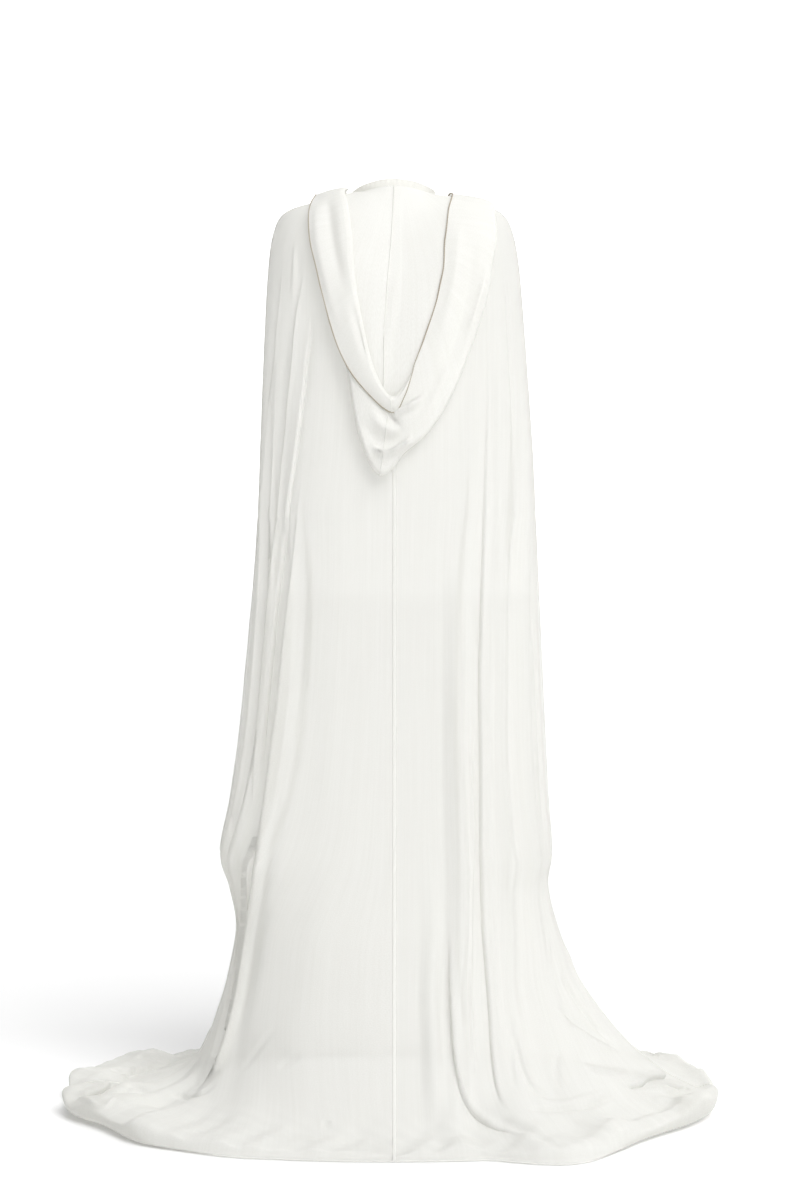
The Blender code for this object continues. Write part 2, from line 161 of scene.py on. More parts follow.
def lamp(name, kind, power, place, aim, **settings):
    light = bpy.data.lights.new(name, kind)
    light.energy = power
    for key, value in settings.items():
        setattr(light, key, value)
    holder = bpy.data.objects.new(name, light)
    holder.location = place
    holder.rotation_euler = (Vector(aim) - Vector(place)).to_track_quat("-Z", "Y").to_euler()
    scene.collection.objects.link(holder)


def camera():
    """At the photograph's distance and height, level, with the shift that its framing needs."""
    lens = bpy.data.cameras.new("camera")
    lens.sensor_fit = "VERTICAL"
    lens.sensor_height = FILM
    lens.lens = FILM * FOCAL_PIXELS / PIXELS_HIGH
    lens.shift_y = -(PIXELS_HIGH / 2 - HORIZON_PIXEL) / PIXELS_HIGH
    lens.clip_end = 200.0
    holder = bpy.data.objects.new("camera", lens)
    holder.location = (0.0, CAMERA_BACK, FLOOR + CAMERA_HEIGHT)
    turn = math.atan((CENTRE_PIXEL - MIDDLE_PIXEL) / FOCAL_PIXELS)
    holder.rotation_euler = (math.pi / 2, 0.0, math.pi - turn)
    scene.collection.objects.link(holder)
    scene.camera = holder


plain_floor()
surround()
lamp("top_light", "SUN", TOP_LIGHT, TOP_PLACE, TOP_AIM, angle=math.radians(TOP_SPREAD))
lamp("side_light", "AREA", SIDE_LIGHT, SIDE_PLACE, SIDE_AIM, shape="DISK", size=SIDE_SIZE)
camera()
scene.view_settings.view_transform = "Standard"
scene.cycles.transparent_max_bounces = 24

# Front: one wide piece of ivory crepe chiffon, cut in one with the fronts of both cape sleeves. It
# hangs from the shoulders in long folds, and its lowest part lies on the floor as the train.
SEAM = 0.0003
RING_COLUMNS = ("left", "right", "back", "front", "middle", "z_back", "z_side", "z_front", "square",
                "fold_left", "fold_right")
RINGS = (
    (0.074, 0.074, 0.072, 0.066, 0.000, 0.045, 0.030, -0.040, 2.0, 46, 46),
    (0.120, 0.120, 0.095, 0.088, 0.000, 0.004, 0.026, -0.072, 2.1, 50, 50),
    (0.172, 0.170, 0.110, 0.108, 0.000, -0.045, 0.016, -0.115, 2.2, 54, 54),
    (0.204, 0.200, 0.120, 0.122, 0.000, -0.092, -0.001, -0.160, 2.3, 57, 56),
    (0.219, 0.216, 0.127, 0.131, 0.000, -0.135, -0.034, -0.200, 2.5, 58, 57),
    (0.227, 0.226, 0.131, 0.136, 0.000, -0.180, -0.088, -0.240, 2.6, 57, 56),
    (0.232, 0.233, 0.134, 0.140, 0.000, -0.240, -0.165, -0.290, 2.7, 56, 55),
    (0.238, 0.243, 0.137, 0.145, 0.000, -0.340, -0.300, -0.370, 2.8, 55, 53),
    (0.243, 0.252, 0.140, 0.150, 0.000, -0.450, -0.435, -0.460, 2.8, 56, 52),
    (0.247, 0.257, 0.143, 0.153, 0.000, -0.545, -0.545, -0.545, 2.8, 58, 51),
    (0.255, 0.262, 0.148, 0.157, 0.000, -0.670, -0.670, -0.670, 2.8, 59, 50),
    (0.268, 0.268, 0.155, 0.162, 0.000, -0.810, -0.810, -0.810, 2.8, 60, 49),
    (0.281, 0.274, 0.164, 0.169, 0.000, -0.940, -0.940, -0.940, 2.7, 61, 47),
    (0.298, 0.280, 0.176, 0.178, 0.000, -1.060, -1.060, -1.060, 2.6, 62, 45),
    (0.316, 0.287, 0.188, 0.187, 0.000, -1.155, -1.155, -1.155, 2.5, 64, 43),
    (0.299, 0.280, 0.197, 0.194, 0.000, -1.215, -1.215, -1.215, 2.4, 68, 42),
    (0.286, 0.295, 0.208, 0.210, 0.005, -1.285, -1.285, -1.285, 2.3, 72, 40),
    (0.299, 0.328, 0.225, 0.238, 0.015, -1.370, -1.370, -1.370, 2.2, 72, 36),
    (0.319, 0.374, 0.253, 0.272, 0.025, -1.440, -1.440, -1.440, 2.2, 70, 33),
    (0.345, 0.432, 0.288, 0.315, 0.038, -1.505, -1.505, -1.505, 2.2, 66, 30),
    (0.385, 0.492, 0.322, 0.352, 0.050, -1.550, -1.550, -1.550, 2.2, 62, 28),
    (0.450, 0.540, 0.350, 0.380, 0.062, -1.580, -1.574, -1.580, 2.3, 59, 27),
    (0.530, 0.566, 0.370, 0.400, 0.072, -1.5900, -1.5660, -1.5900, 2.3, 57, 27),
    (0.582, 0.575, 0.382, 0.410, 0.080, -1.5940, -1.5760, -1.5940, 2.4, 56, 27),
    (0.570, 0.560, 0.391, 0.419, 0.080, -1.5960, -1.5930, -1.5960, 2.4, 56, 27),
    (0.520, 0.510, 0.402, 0.426, 0.080, -1.5984, -1.5983, -1.5984, 2.4, 56, 27),
)
WRIST_ROW = 9.0
TIP_ROW = 14.0
SLEEVE_GAP = {"back": 0.030, "front": 0.036}
SLEEVE_POWER = 0.7
FOLD_COLUMNS = ("face", "side", "share_top", "share_foot", "z_top", "z_foot", "width", "depth")
FOLDS = (
    ("back", "left", 0.60, 0.56, -0.20, -1.60, 0.090, -0.010),
    ("back", "left", 0.50, 0.43, -0.55, -1.60, 0.080, 0.012),
    ("back", "left", 0.72, 0.73, -0.20, -1.30, 0.065, -0.012),
    ("back", "left", 0.85, 0.85, -0.55, -1.28, 0.060, -0.008),
    ("back", "left", 0.15, 0.17, -0.95, -1.60, 0.090, 0.003),
    ("back", "right", 0.54, 0.50, -0.30, -1.60, 0.150, -0.008),
    ("back", "right", 0.38, 0.38, -0.55, -1.60, 0.080, 0.012),
    ("back", "right", 0.71, 0.69, -0.30, -1.60, 0.065, -0.012),
    ("back", "right", 0.85, 0.84, -0.45, -1.60, 0.065, -0.009),
    ("back", "right", 0.22, 0.26, -1.10, -1.60, 0.080, 0.012),
    ("front", "left", 0.50, 0.50, -0.14, -1.60, 0.085, -0.028),
    ("front", "left", 0.70, 0.72, -0.30, -1.60, 0.075, -0.012),
    ("front", "left", 0.25, 0.25, -0.60, -1.60, 0.100, 0.012),
    ("front", "right", 0.50, 0.50, -0.14, -1.60, 0.085, -0.028),
    ("front", "right", 0.72, 0.70, -0.30, -1.60, 0.075, -0.012),
    ("front", "right", 0.30, 0.28, -0.60, -1.60, 0.100, 0.010),
)
FOLD_GROWTH = 0.35
FOLD_FADE = 0.10
LAST_FOLDED_RING = 22
FADING_RINGS = 4
TRAIN_COLUMNS = ("face", "side", "share", "width", "height", "reach")
TRAIN_WAVES = (
    ("back", "left", 0.30, 0.12, 0.006, 0.006),
    ("back", "left", 0.50, 0.10, 0.012, 0.000),
    ("back", "left", 0.66, 0.20, 0.000, -0.030),
    ("back", "left", 0.72, 0.08, 0.014, 0.000),
    ("back", "left", 0.90, 0.08, 0.012, 0.004),
    ("back", "right", 0.34, 0.10, 0.010, 0.000),
    ("back", "right", 0.60, 0.20, 0.004, 0.062),
    ("back", "right", 0.56, 0.07, 0.010, 0.000),
    ("back", "right", 0.74, 0.08, 0.014, 0.000),
    ("back", "right", 0.85, 0.12, 0.000, -0.024),
    ("back", "right", 0.92, 0.07, 0.016, 0.000),
    ("front", "left", 0.30, 0.14, 0.014, 0.016),
    ("front", "left", 0.62, 0.13, 0.018, -0.014),
    ("front", "left", 0.86, 0.11, 0.014, 0.010),
    ("front", "right", 0.36, 0.14, 0.014, -0.012),
    ("front", "right", 0.64, 0.13, 0.018, 0.018),
    ("front", "right", 0.88, 0.10, 0.012, 0.000),
)
TRAIN_RINGS = (18.0, 21.0, 22.6, 24.2)


def smooth(values, at):
    """Values of a table's column at fractional rows, on a smooth curve through its rows."""
    values = np.asarray(values, dtype=float)
    last = len(values) - 1
    at = np.clip(np.asarray(at, dtype=float), 0.0, last)
    low = np.minimum(at.astype(int), last - 1)
    part = at - low
    before = values[np.maximum(low - 1, 0)]
    start = values[low]
    end = values[low + 1]
    after = values[np.minimum(low + 2, last)]
    slope_start = (end - before) / 2
    slope_end = (after - start) / 2
    square = part * part
    cube = square * part
    return ((2 * cube - 3 * square + 1) * start + (cube - 2 * square + part) * slope_start
            + (3 * square - 2 * cube) * end + (cube - square) * slope_end)


def ramp(value):
    """A soft step from 0 to 1."""
    value = np.clip(value, 0.0, 1.0)
    return value * value * (3 - 2 * value)


def ring(name, rows):
    """One column of the ring table at fractional rows."""
    place = RING_COLUMNS.index(name)
    return smooth([row[place] for row in RINGS], rows)


def side_gap(face, rows):
    """Distance of a panel's side edge from the side line: half a seam, or the open sleeve."""
    along = np.clip((rows - WRIST_ROW) / (TIP_ROW - WRIST_ROW), 0.0, 1.0)
    return SEAM / 2 + SLEEVE_GAP[face] * np.sin(np.pi * along) ** SLEEVE_POWER


def fold_depth(face, side, share, height, rows):
    """How far the long folds move the cloth outward. They die out where it lies on the floor."""
    depth = np.zeros_like(share)
    for row in FOLDS:
        fold = dict(zip(FOLD_COLUMNS, row))
        if (fold["face"], fold["side"]) != (face, side):
            continue
        fall = (fold["z_top"] - height) / (fold["z_top"] - fold["z_foot"])
        middle = fold["share_top"] + (fold["share_foot"] - fold["share_top"]) * np.clip(fall, 0, 1)
        off = np.clip(np.abs(share - middle) / fold["width"], 0.0, 1.0)
        grown = ramp((fold["z_top"] - height) / FOLD_GROWTH)
        if fold["z_foot"] > FLOOR:
            grown = grown * ramp((height - fold["z_foot"]) / FOLD_FADE + 1.0)
        depth += fold["depth"] * grown * 0.5 * (1 + np.cos(np.pi * off))
    return depth * ramp((LAST_FOLDED_RING - rows) / FADING_RINGS)


def train_waves(face, side, share, rows):
    """How far the waves of the train lift the cloth and carry its outline outward."""
    lift = np.zeros_like(share)
    reach = np.zeros_like(share)
    start, full, high, end = TRAIN_RINGS
    lifted = ramp((rows - start) / (full - start)) * ramp((end - rows) / (end - high))
    carried = ramp((rows - start) / (high - start))
    for row in TRAIN_WAVES:
        wave = dict(zip(TRAIN_COLUMNS, row))
        if (wave["face"], wave["side"]) != (face, side):
            continue
        off = np.clip(np.abs(share - wave["share"]) / wave["width"], 0.0, 1.0)
        bump = 0.5 * (1 + np.cos(np.pi * off))
        lift += wave["height"] * bump * lifted
        reach += wave["reach"] * bump * carried
    return lift, reach


def body(face, side, share, rows, folded=True, seamed=True):
    """Points of the body's outer face, for shares from the middle of a face to its side edge."""
    share, rows = np.broadcast_arrays(np.asarray(share, float), np.asarray(rows, float))
    half = ring(side, rows)
    depth = ring(face, rows)
    square = ring("square", rows)
    gap = side_gap(face, rows) if seamed else np.zeros_like(rows)
    edge_angle = np.arccos(np.clip(gap / half, 0.0, 1.0))
    spread = 90 / ring("fold_" + side, rows) - 1
    angle = edge_angle * share / (share + spread * (1 - share))
    across = np.abs(np.sin(angle))
    along = np.abs(np.cos(angle))
    radius = ((across / half) ** square + (along / depth) ** square) ** (-1 / square)
    height = ring("z_" + face, rows) * along ** 2 + ring("z_side", rows) * across ** 2
    if folded:
        lift, reach = train_waves(face, side, share, rows)
        radius = radius + fold_depth(face, side, share, height, rows) + reach
        height = height + lift
    x = radius * across
    y = radius * along
    x_sign = 1 if side == "left" else -1
    y_sign = 1 if face == "back" else -1
    return np.stack((x * x_sign, ring("middle", rows) + y * y_sign, height), axis=-1)


# Long shallow waves of the hanging cloth: how many cross half of a panel, how far they drift
# sideways on the way down, where they start, and how high they are.
DRAPE_COLUMNS = ("waves", "drift", "start", "height")
DRAPE = (
    (3.7, 0.30, 0.15, 0.0010),
    (7.9, -0.35, 0.40, 0.0005),
    (13.1, 0.45, 0.70, 0.0002),
)
DRAPE_IN = (2.0, 9.0)
DRAPE_OUT = (18.0, 21.0)
DRAPE_AT_MIDDLE = 0.12

# Crumples of the cloth that lies on the floor: waves for each metre across and along, start, height.
CRUMPLE_COLUMNS = ("across", "along", "start", "height")
CRUMPLES = (
    (5.1, 7.9, 0.10, 0.0022),
    (11.3, -6.1, 0.55, 0.0015),
    (-17.9, 13.7, 0.30, 0.0010),
    (23.3, 29.1, 0.80, 0.0006),
)
CRUMPLE_IN = (19.5, 21.5)
CRUMPLE_OUT = 24.0

# Creases, listed one by one. A path runs over shares and rings. width is half of what it reaches, depth
# is outward where positive, and lean pushes the crest sideways, to the left of one who faces the
# cloth. A crease fades in and out over these shares of its length.
CREASE_COLUMNS = ("path", "width", "depth", "lean", "fade_in", "fade_out")
CREASES = {
    ("back", "left"): (
        (((0.563, 3.98), (0.549, 4.74), (0.551, 5.4), (0.562, 5.97)), 0.006, 0.004, 0.0, 0.3, 0.5),
        (((0.571, 5.78), (0.595, 6.44), (0.622, 7.11), (0.641, 7.86), (0.648, 8.75), (0.75, 9.66)),
         0.012, -0.003, 0.0, 0.3, 0.4),
        (((0.849, 12.98), (0.751, 13.48), (0.698, 13.91), (0.665, 14.32)), 0.008, -0.004, 0.0, 0.3, 0.3),
        (((0.431, 10.68), (0.421, 11.46), (0.41, 12.29), (0.394, 13.2), (0.34, 14.49), (0.295, 16.1),
          (0.305, 17.33), (0.334, 18.27), (0.383, 18.92)),
         0.02, 0.002, 0.0, 0.3, 0.2),
        (((0.326, 11.46), (0.303, 12.57), (0.263, 13.92), (0.184, 16.03), (0.19, 17.45), (0.214, 18.59)),
         0.026, -0.0015, 0.0, 0.3, 0.3),
        (((0.214, 17.75), (0.247, 18.1), (0.287, 18.5), (0.32, 18.81), (0.377, 19.13)),
         0.008, -0.002, 0.0, 0.3, 0.3),
        (((0.157, 18.43), (0.187, 18.61), (0.218, 18.83)), 0.007, -0.003, 0.0, 0.3, 0.3),
        (((0.426, 19.42), (0.465, 19.85), (0.519, 20.25), (0.657, 20.46), (0.695, 20.68)),
         0.007, -0.006, 0.0, 0.3, 0.2),
        (((0.715, 22.02), (0.861, 21.32), (0.87, 21.04), (0.738, 20.81)), 0.006, -0.005, 0.0, 0.2, 0.4),
        (((0.835, 22.48), (0.724, 22.85), (0.687, 22.67), (0.696, 22.39), (0.71, 22.09)),
         0.006, 0.005, 0.0, 0.2, 0.2),
        (((0.117, 20.2), (0.114, 20.43), (0.111, 20.63)), 0.003, -0.005, 0.0, 0.3, 0.3),
    ),
    ("back", "right"): (
        (((0.643, 4.94), (0.648, 6.26), (0.657, 6.87), (0.665, 7.47), (0.663, 8.08), (0.665, 9.07)),
         0.006, -0.004, 0.0, 0.3, 0.5),
        (((0.574, 5.78), (0.581, 6.96), (0.586, 8.07), (0.609, 9.65), (0.611, 10.94)),
         0.014, 0.003, 0.0, 0.3, 0.4),
        (((0.781, 9.65), (0.87, 10.7), (0.881, 11.5), (0.882, 12.35), (0.874, 13.3), (0.861, 14.17)),
         0.007, -0.004, 0.0, 0.4, 0.2),
        (((0.461, 11.39), (0.482, 12.15), (0.48, 13.19), (0.454, 14.07), (0.445, 15.36), (0.454, 16.37),
          (0.466, 17.28), (0.461, 18.3), (0.466, 19.2)),
         0.005, 0.004, 0.0, 0.2, 0.2),
        (((0.569, 9.65), (0.573, 11.2), (0.562, 12.88), (0.549, 15.09), (0.576, 16.81), (0.568, 18.34),
          (0.554, 19.41)),
         0.007, 0.004, 0.0, 0.3, 0.2),
        (((0.621, 17.57), (0.605, 18.23), (0.591, 18.75), (0.576, 19.34)), 0.006, -0.003, 0.0, 0.3, 0.3),
        (((0.62, 17.91), (0.621, 18.46), (0.623, 18.84), (0.636, 19.26), (0.668, 19.6), (0.698, 19.86)),
         0.007, -0.005, 0.0, 0.2, 0.3),
        (((0.743, 18.45), (0.726, 18.82), (0.717, 19.14), (0.712, 19.5)), 0.007, -0.003, 0.0, 0.3, 0.3),
        (((0.886, 16.68), (0.877, 17.03), (0.881, 17.33), (0.887, 17.74), (0.896, 18.04), (0.908, 18.36),
          (0.925, 18.64)),
         0.01, -0.009, 0.0, 0.3, 0.2),
        (((0.978, 15.46), (0.996, 16.39), (0.946, 17.02), (0.936, 17.67), (0.944, 18.21)),
         0.012, 0.005, 0.0, 0.3, 0.3),
        (((0.862, 16.03), (0.815, 16.72), (0.813, 17.06), (0.819, 17.47)), 0.008, 0.004, 0.0, 0.3, 0.3),
        (((0.486, 20.28), (0.529, 20.6), (0.559, 21.08), (0.571, 22.02), (0.589, 22.98)),
         0.013, -0.007, 0.0, 0.2, 0.3),
        (((0.568, 19.99), (0.636, 19.95), (0.686, 20.11), (0.731, 20.3), (0.785, 20.05), (0.84, 19.86)),
         0.006, -0.006, 0.0, 0.2, 0.3),
        (((0.612, 19.54), (0.665, 19.75), (0.713, 19.97), (0.765, 19.89), (0.831, 19.7)),
         0.009, 0.004, 0.0, 0.3, 0.3),
        (((0.927, 20.25), (0.942, 20.43), (0.967, 20.66)), 0.006, -0.022, 0.0, 0.2, 0.2),
        (((0.923, 20.2), (0.936, 20.08), (0.962, 20.11)), 0.004, -0.006, 0.0, 0.3, 0.3),
        (((0.878, 20.46), (0.895, 20.92), (0.898, 22.3)), 0.012, 0.006, 0.0, 0.3, 0.3),
        (((0.85, 20.82), (0.854, 20.97), (0.842, 21.98)), 0.004, -0.004, 0.0, 0.3, 0.3),
        (((0.798, 18.94), (0.848, 19.16), (0.891, 19.33)), 0.006, -0.005, 0.0, 0.3, 0.3),
    ),
    ("front", "left"): (
        (((0.5, 4.4), (0.5, 8.0), (0.49, 12.0), (0.48, 16.0), (0.46, 19.5)), 0.01, 0.008, 1.0, 0.2, 0.2),
        (((0.56, 5.0), (0.57, 9.0), (0.55, 13.0), (0.54, 17.0)), 0.006, -0.006, 0.0, 0.2, 0.3),
        (((0.66, 4.6), (0.68, 7.0), (0.7, 10.0), (0.69, 13.0)), 0.008, -0.006, 0.0, 0.2, 0.3),
        (((0.8, 5.4), (0.82, 9.0), (0.8, 13.0)), 0.01, 0.005, 0.0, 0.3, 0.3),
        (((0.3, 9.0), (0.29, 13.0), (0.27, 17.0), (0.26, 19.4)), 0.016, 0.006, 0.0, 0.3, 0.2),
        (((0.12, 12.0), (0.11, 15.0), (0.1, 18.5)), 0.012, -0.004, 0.0, 0.3, 0.3),
        (((0.38, 7.0), (0.37, 11.0), (0.36, 15.0), (0.33, 19.0)), 0.01, -0.006, 0.0, 0.3, 0.2),
        (((0.03, 3.2), (0.15, 2.7), (0.3, 2.0)), 0.01, -0.004, 0.0, 0.3, 0.3),
        (((0.03, 5.0), (0.18, 4.2), (0.36, 3.1)), 0.012, -0.004, 0.0, 0.3, 0.3),
        (((0.2, 19.5), (0.22, 21.0), (0.25, 22.5)), 0.01, -0.006, 0.0, 0.3, 0.1),
        (((0.62, 19.0), (0.64, 20.5), (0.66, 22.0)), 0.01, -0.007, 0.0, 0.3, 0.1),
        (((0.84, 18.6), (0.86, 20.2), (0.88, 21.8)), 0.009, -0.007, 0.0, 0.3, 0.1),
        (((0.4, 20.4), (0.5, 20.2), (0.6, 20.5)), 0.006, -0.004, 0.0, 0.3, 0.3),
    ),
    ("front", "right"): (
        (((0.5, 4.4), (0.51, 8.0), (0.5, 12.0), (0.47, 16.0), (0.45, 19.5)), 0.009, 0.008, -1.0, 0.2, 0.2),
        (((0.57, 5.2), (0.58, 9.0), (0.57, 13.0), (0.53, 17.0)), 0.006, -0.006, 0.0, 0.2, 0.3),
        (((0.68, 4.8), (0.71, 7.0), (0.72, 10.0), (0.7, 13.4)), 0.008, -0.005, 0.0, 0.2, 0.3),
        (((0.82, 5.8), (0.84, 9.0), (0.83, 13.0)), 0.011, 0.005, 0.0, 0.3, 0.3),
        (((0.33, 8.4), (0.31, 13.0), (0.29, 17.0), (0.3, 19.4)), 0.015, 0.006, 0.0, 0.3, 0.2),
        (((0.16, 11.0), (0.14, 15.0), (0.15, 18.5)), 0.012, -0.004, 0.0, 0.3, 0.3),
        (((0.41, 7.6), (0.4, 11.0), (0.38, 15.0), (0.37, 19.0)), 0.01, -0.006, 0.0, 0.3, 0.2),
        (((0.03, 3.9), (0.16, 3.3), (0.33, 2.4)), 0.011, -0.004, 0.0, 0.3, 0.3),
        (((0.24, 19.4), (0.27, 21.0), (0.28, 22.5)), 0.01, -0.006, 0.0, 0.3, 0.1),
        (((0.6, 19.2), (0.61, 20.5), (0.64, 22.0)), 0.01, -0.007, 0.0, 0.3, 0.1),
        (((0.82, 18.8), (0.83, 20.2), (0.87, 21.8)), 0.009, -0.007, 0.0, 0.3, 0.1),
        (((0.36, 20.5), (0.47, 20.2), (0.57, 20.4)), 0.006, -0.004, 0.0, 0.3, 0.3),
    ),
}

# Laps: places where one stretch of cloth lies over the next. The upper one rises and reaches past
# the line, to the left (1) or right (-1) of one who faces the cloth, and the next lies behind it.
LAP_COLUMNS = ("path", "way", "width", "rise", "lap", "behind", "spread", "fade_in", "fade_out")
LAPS = {
    ("back", "left"): (
        (((0.644, 4.73), (0.644, 5.76), (0.661, 6.27), (0.678, 6.72), (0.73, 7.24), (0.755, 7.82),
          (0.767, 8.34), (0.773, 8.89)),
         1, 0.004, 0.002, 0.004, 0.004, 0.016, 0.3, 0.3),
        (((0.489, 4.63), (0.502, 5.44), (0.516, 5.9), (0.53, 6.34), (0.547, 6.81), (0.565, 7.21),
          (0.581, 7.71), (0.597, 8.15), (0.6, 8.67), (0.617, 9.22), (0.637, 9.67), (0.651, 10.22),
          (0.653, 10.73), (0.654, 11.26), (0.65, 11.76), (0.635, 12.34), (0.619, 12.76), (0.595, 13.22)),
         1, 0.004, 0.0035, 0.005, 0.005, 0.026, 0.12, 0.1),
        (((0.452, 5.78), (0.46, 6.3), (0.483, 6.71), (0.494, 7.12), (0.503, 7.39), (0.512, 7.8),
          (0.52, 8.16), (0.531, 8.58), (0.541, 8.95), (0.602, 9.55), (0.619, 10.01), (0.627, 10.37),
          (0.629, 10.88), (0.63, 11.43), (0.625, 11.91), (0.612, 12.39), (0.585, 12.95)),
         -1, 0.004, 0.003, 0.005, 0.007, 0.012, 0.12, 0.15),
        (((0.464, 8.04), (0.463, 8.45), (0.462, 8.82), (0.477, 9.55), (0.485, 10.16), (0.481, 10.72),
          (0.475, 11.25), (0.475, 11.68), (0.477, 12.08), (0.469, 12.58), (0.453, 13.17), (0.427, 13.83),
          (0.406, 14.77), (0.399, 15.64), (0.401, 16.32), (0.402, 17.04), (0.401, 17.75), (0.409, 18.33),
          (0.429, 18.77), (0.475, 19.29), (0.573, 19.8), (0.629, 20.16)),
         1, 0.006, 0.007, 0.012, 0.02, 0.036, 0.35, 0.06),
        (((0.834, 22.49), (0.853, 22.24), (0.883, 21.85), (0.96, 21.7)),
         1, 0.006, 0.008, 0.01, 0.012, 0.022, 0.1, 0.3),
    ),
    ("back", "right"): (
        (((0.538, 5.08), (0.519, 5.8), (0.518, 6.52), (0.522, 7.45), (0.528, 8.75), (0.551, 9.76),
          (0.549, 10.63), (0.546, 11.22), (0.548, 12.15), (0.54, 12.8), (0.523, 13.74), (0.521, 14.77),
          (0.529, 15.82), (0.555, 16.82), (0.557, 17.55), (0.548, 18.33), (0.539, 19.15), (0.534, 19.73),
          (0.542, 20.07)),
         1, 0.005, 0.0035, 0.006, 0.009, 0.018, 0.45, 0.06),
        (((0.319, 15.4), (0.335, 16.14), (0.353, 16.76), (0.366, 17.46), (0.369, 17.98), (0.382, 18.55),
          (0.412, 19.25), (0.445, 19.8), (0.478, 20.23), (0.512, 20.6), (0.544, 21.45)),
         1, 0.005, 0.005, 0.009, 0.01, 0.024, 0.35, 0.2),
        (((0.776, 17.56), (0.809, 17.89), (0.846, 18.18), (0.867, 18.4), (0.895, 18.67), (0.914, 18.85)),
         -1, 0.004, 0.004, 0.005, 0.006, 0.018, 0.2, 0.2),
        (((0.86, 19.67), (0.89, 19.69), (0.914, 19.65), (0.957, 19.69), (1.0, 20.04), (1.0, 20.4),
          (1.0, 20.81)),
         1, 0.006, 0.008, 0.01, 0.012, 0.02, 0.15, 0.15),
        (((0.865, 19.74), (0.892, 20.1), (0.907, 20.46), (0.917, 20.75), (0.95, 20.83)),
         -1, 0.006, 0.006, 0.006, 0.006, 0.014, 0.2, 0.2),
    ),
    ("front", "left"): (
        (((0.95, 21.7), (0.94, 21.6), (0.87, 21.4), (0.73, 21.5), (0.65, 21.2), (0.62, 20.7)),
         1, 0.005, 0.006, 0.007, 0.009, 0.02, 0.2, 0.3),
        (((0.4, 8.0), (0.41, 11.0), (0.4, 14.0), (0.38, 17.0), (0.4, 19.4), (0.48, 20.6)),
         -1, 0.007, 0.004, 0.01, 0.013, 0.045, 0.3, 0.1),
        (((0.64, 5.2), (0.68, 8.0), (0.72, 11.0), (0.7, 14.0), (0.7, 17.6)),
         -1, 0.006, 0.004, 0.007, 0.008, 0.03, 0.3, 0.2),
        (((0.86, 18.4), (0.84, 19.8), (0.86, 21.4)), 1, 0.007, 0.006, 0.008, 0.009, 0.025, 0.2, 0.1),
    ),
    ("front", "right"): (
        (((0.43, 7.0), (0.42, 10.0), (0.4, 13.6), (0.39, 17.0), (0.42, 19.5), (0.52, 20.5)),
         1, 0.007, 0.004, 0.009, 0.012, 0.04, 0.3, 0.1),
        (((0.62, 5.8), (0.67, 9.0), (0.7, 12.0), (0.66, 15.0), (0.68, 18.0)),
         1, 0.006, 0.004, 0.007, 0.008, 0.03, 0.3, 0.2),
        (((0.8, 18.8), (0.82, 20.2), (0.88, 21.6)), -1, 0.007, 0.006, 0.008, 0.009, 0.025, 0.2, 0.1),
    ),
}
LINE_STEPS = 120
AROUND = 14
REACH = 2.6
SWELL_BESIDE = 0.45
SAME_LAYER = 0.2
EDGE_STILL = 0.03
NECK_STILL = 0.5

# How finely the cloth is cut into faces: spans of shares and of rings, each with its number of steps.
# The grain is half of a panel's width in metres.
BACK_SPANS = ((0.0, 0.38, 56), (0.38, 1.0, 190))
FRONT_SPANS = ((0.0, 0.3, 34), (0.3, 1.0, 92))
STRETCHES = ((0.0, 5.0, 56), (5.0, 16.0, 170), (16.0, 25.0, 140))
GRAIN_WIDTH = 0.62


def spread_normals(grid):
    """Unit normals of a grid of points, all on the side away from the middle of the garment."""
    down = np.gradient(grid, axis=0)
    across = np.gradient(grid, axis=1)
    normal = np.cross(down, across)
    normal /= np.maximum(np.linalg.norm(normal, axis=-1, keepdims=True), 1e-12)
    away = grid * (1.0, 1.0, 0.0)
    return normal if np.sum(normal * away) > 0 else -normal


def on_grid(grid, normal, across, down, path):
    """A smooth line on a grid through pairs of its coordinates, and the grid's normals along it."""
    path = np.array(path)
    column = np.interp(path[:, 0], across, np.arange(len(across)))
    row = np.interp(path[:, 1], down, np.arange(len(down)))
    left = np.minimum(column.astype(int), len(across) - 2)
    top = np.minimum(row.astype(int), len(down) - 2)
    right_part = (column - left)[:, None]
    low_part = (row - top)[:, None]
    upper = grid[top, left] * (1 - right_part) + grid[top, left + 1] * right_part
    lower = grid[top + 1, left] * (1 - right_part) + grid[top + 1, left + 1] * right_part
    knots = upper * (1 - low_part) + lower * low_part
    length = np.concatenate(((0.0,), np.cumsum(np.linalg.norm(np.diff(knots, axis=0), axis=1))))
    at = np.interp(np.linspace(0, length[-1], LINE_STEPS), length, np.arange(len(knots)))
    line = np.stack([smooth(knots[:, k], at) for k in range(3)], axis=1)
    columns = np.interp(at, np.arange(len(path)), column).round().astype(int)
    rows = np.interp(at, np.arange(len(path)), row).round().astype(int)
    facing = np.empty_like(line)
    for step, (top, left) in enumerate(zip(rows, columns)):
        part = np.s_[max(top - AROUND, 0):top + AROUND + 1, max(left - AROUND, 0):left + AROUND + 1]
        spot = np.argmin(((grid[part] - line[step]) ** 2).sum(axis=-1))
        facing[step] = normal[part].reshape(-1, 3)[spot]
        line[step] -= facing[step] * np.dot(line[step] - grid[part].reshape(-1, 3)[spot], facing[step])
    return line, facing


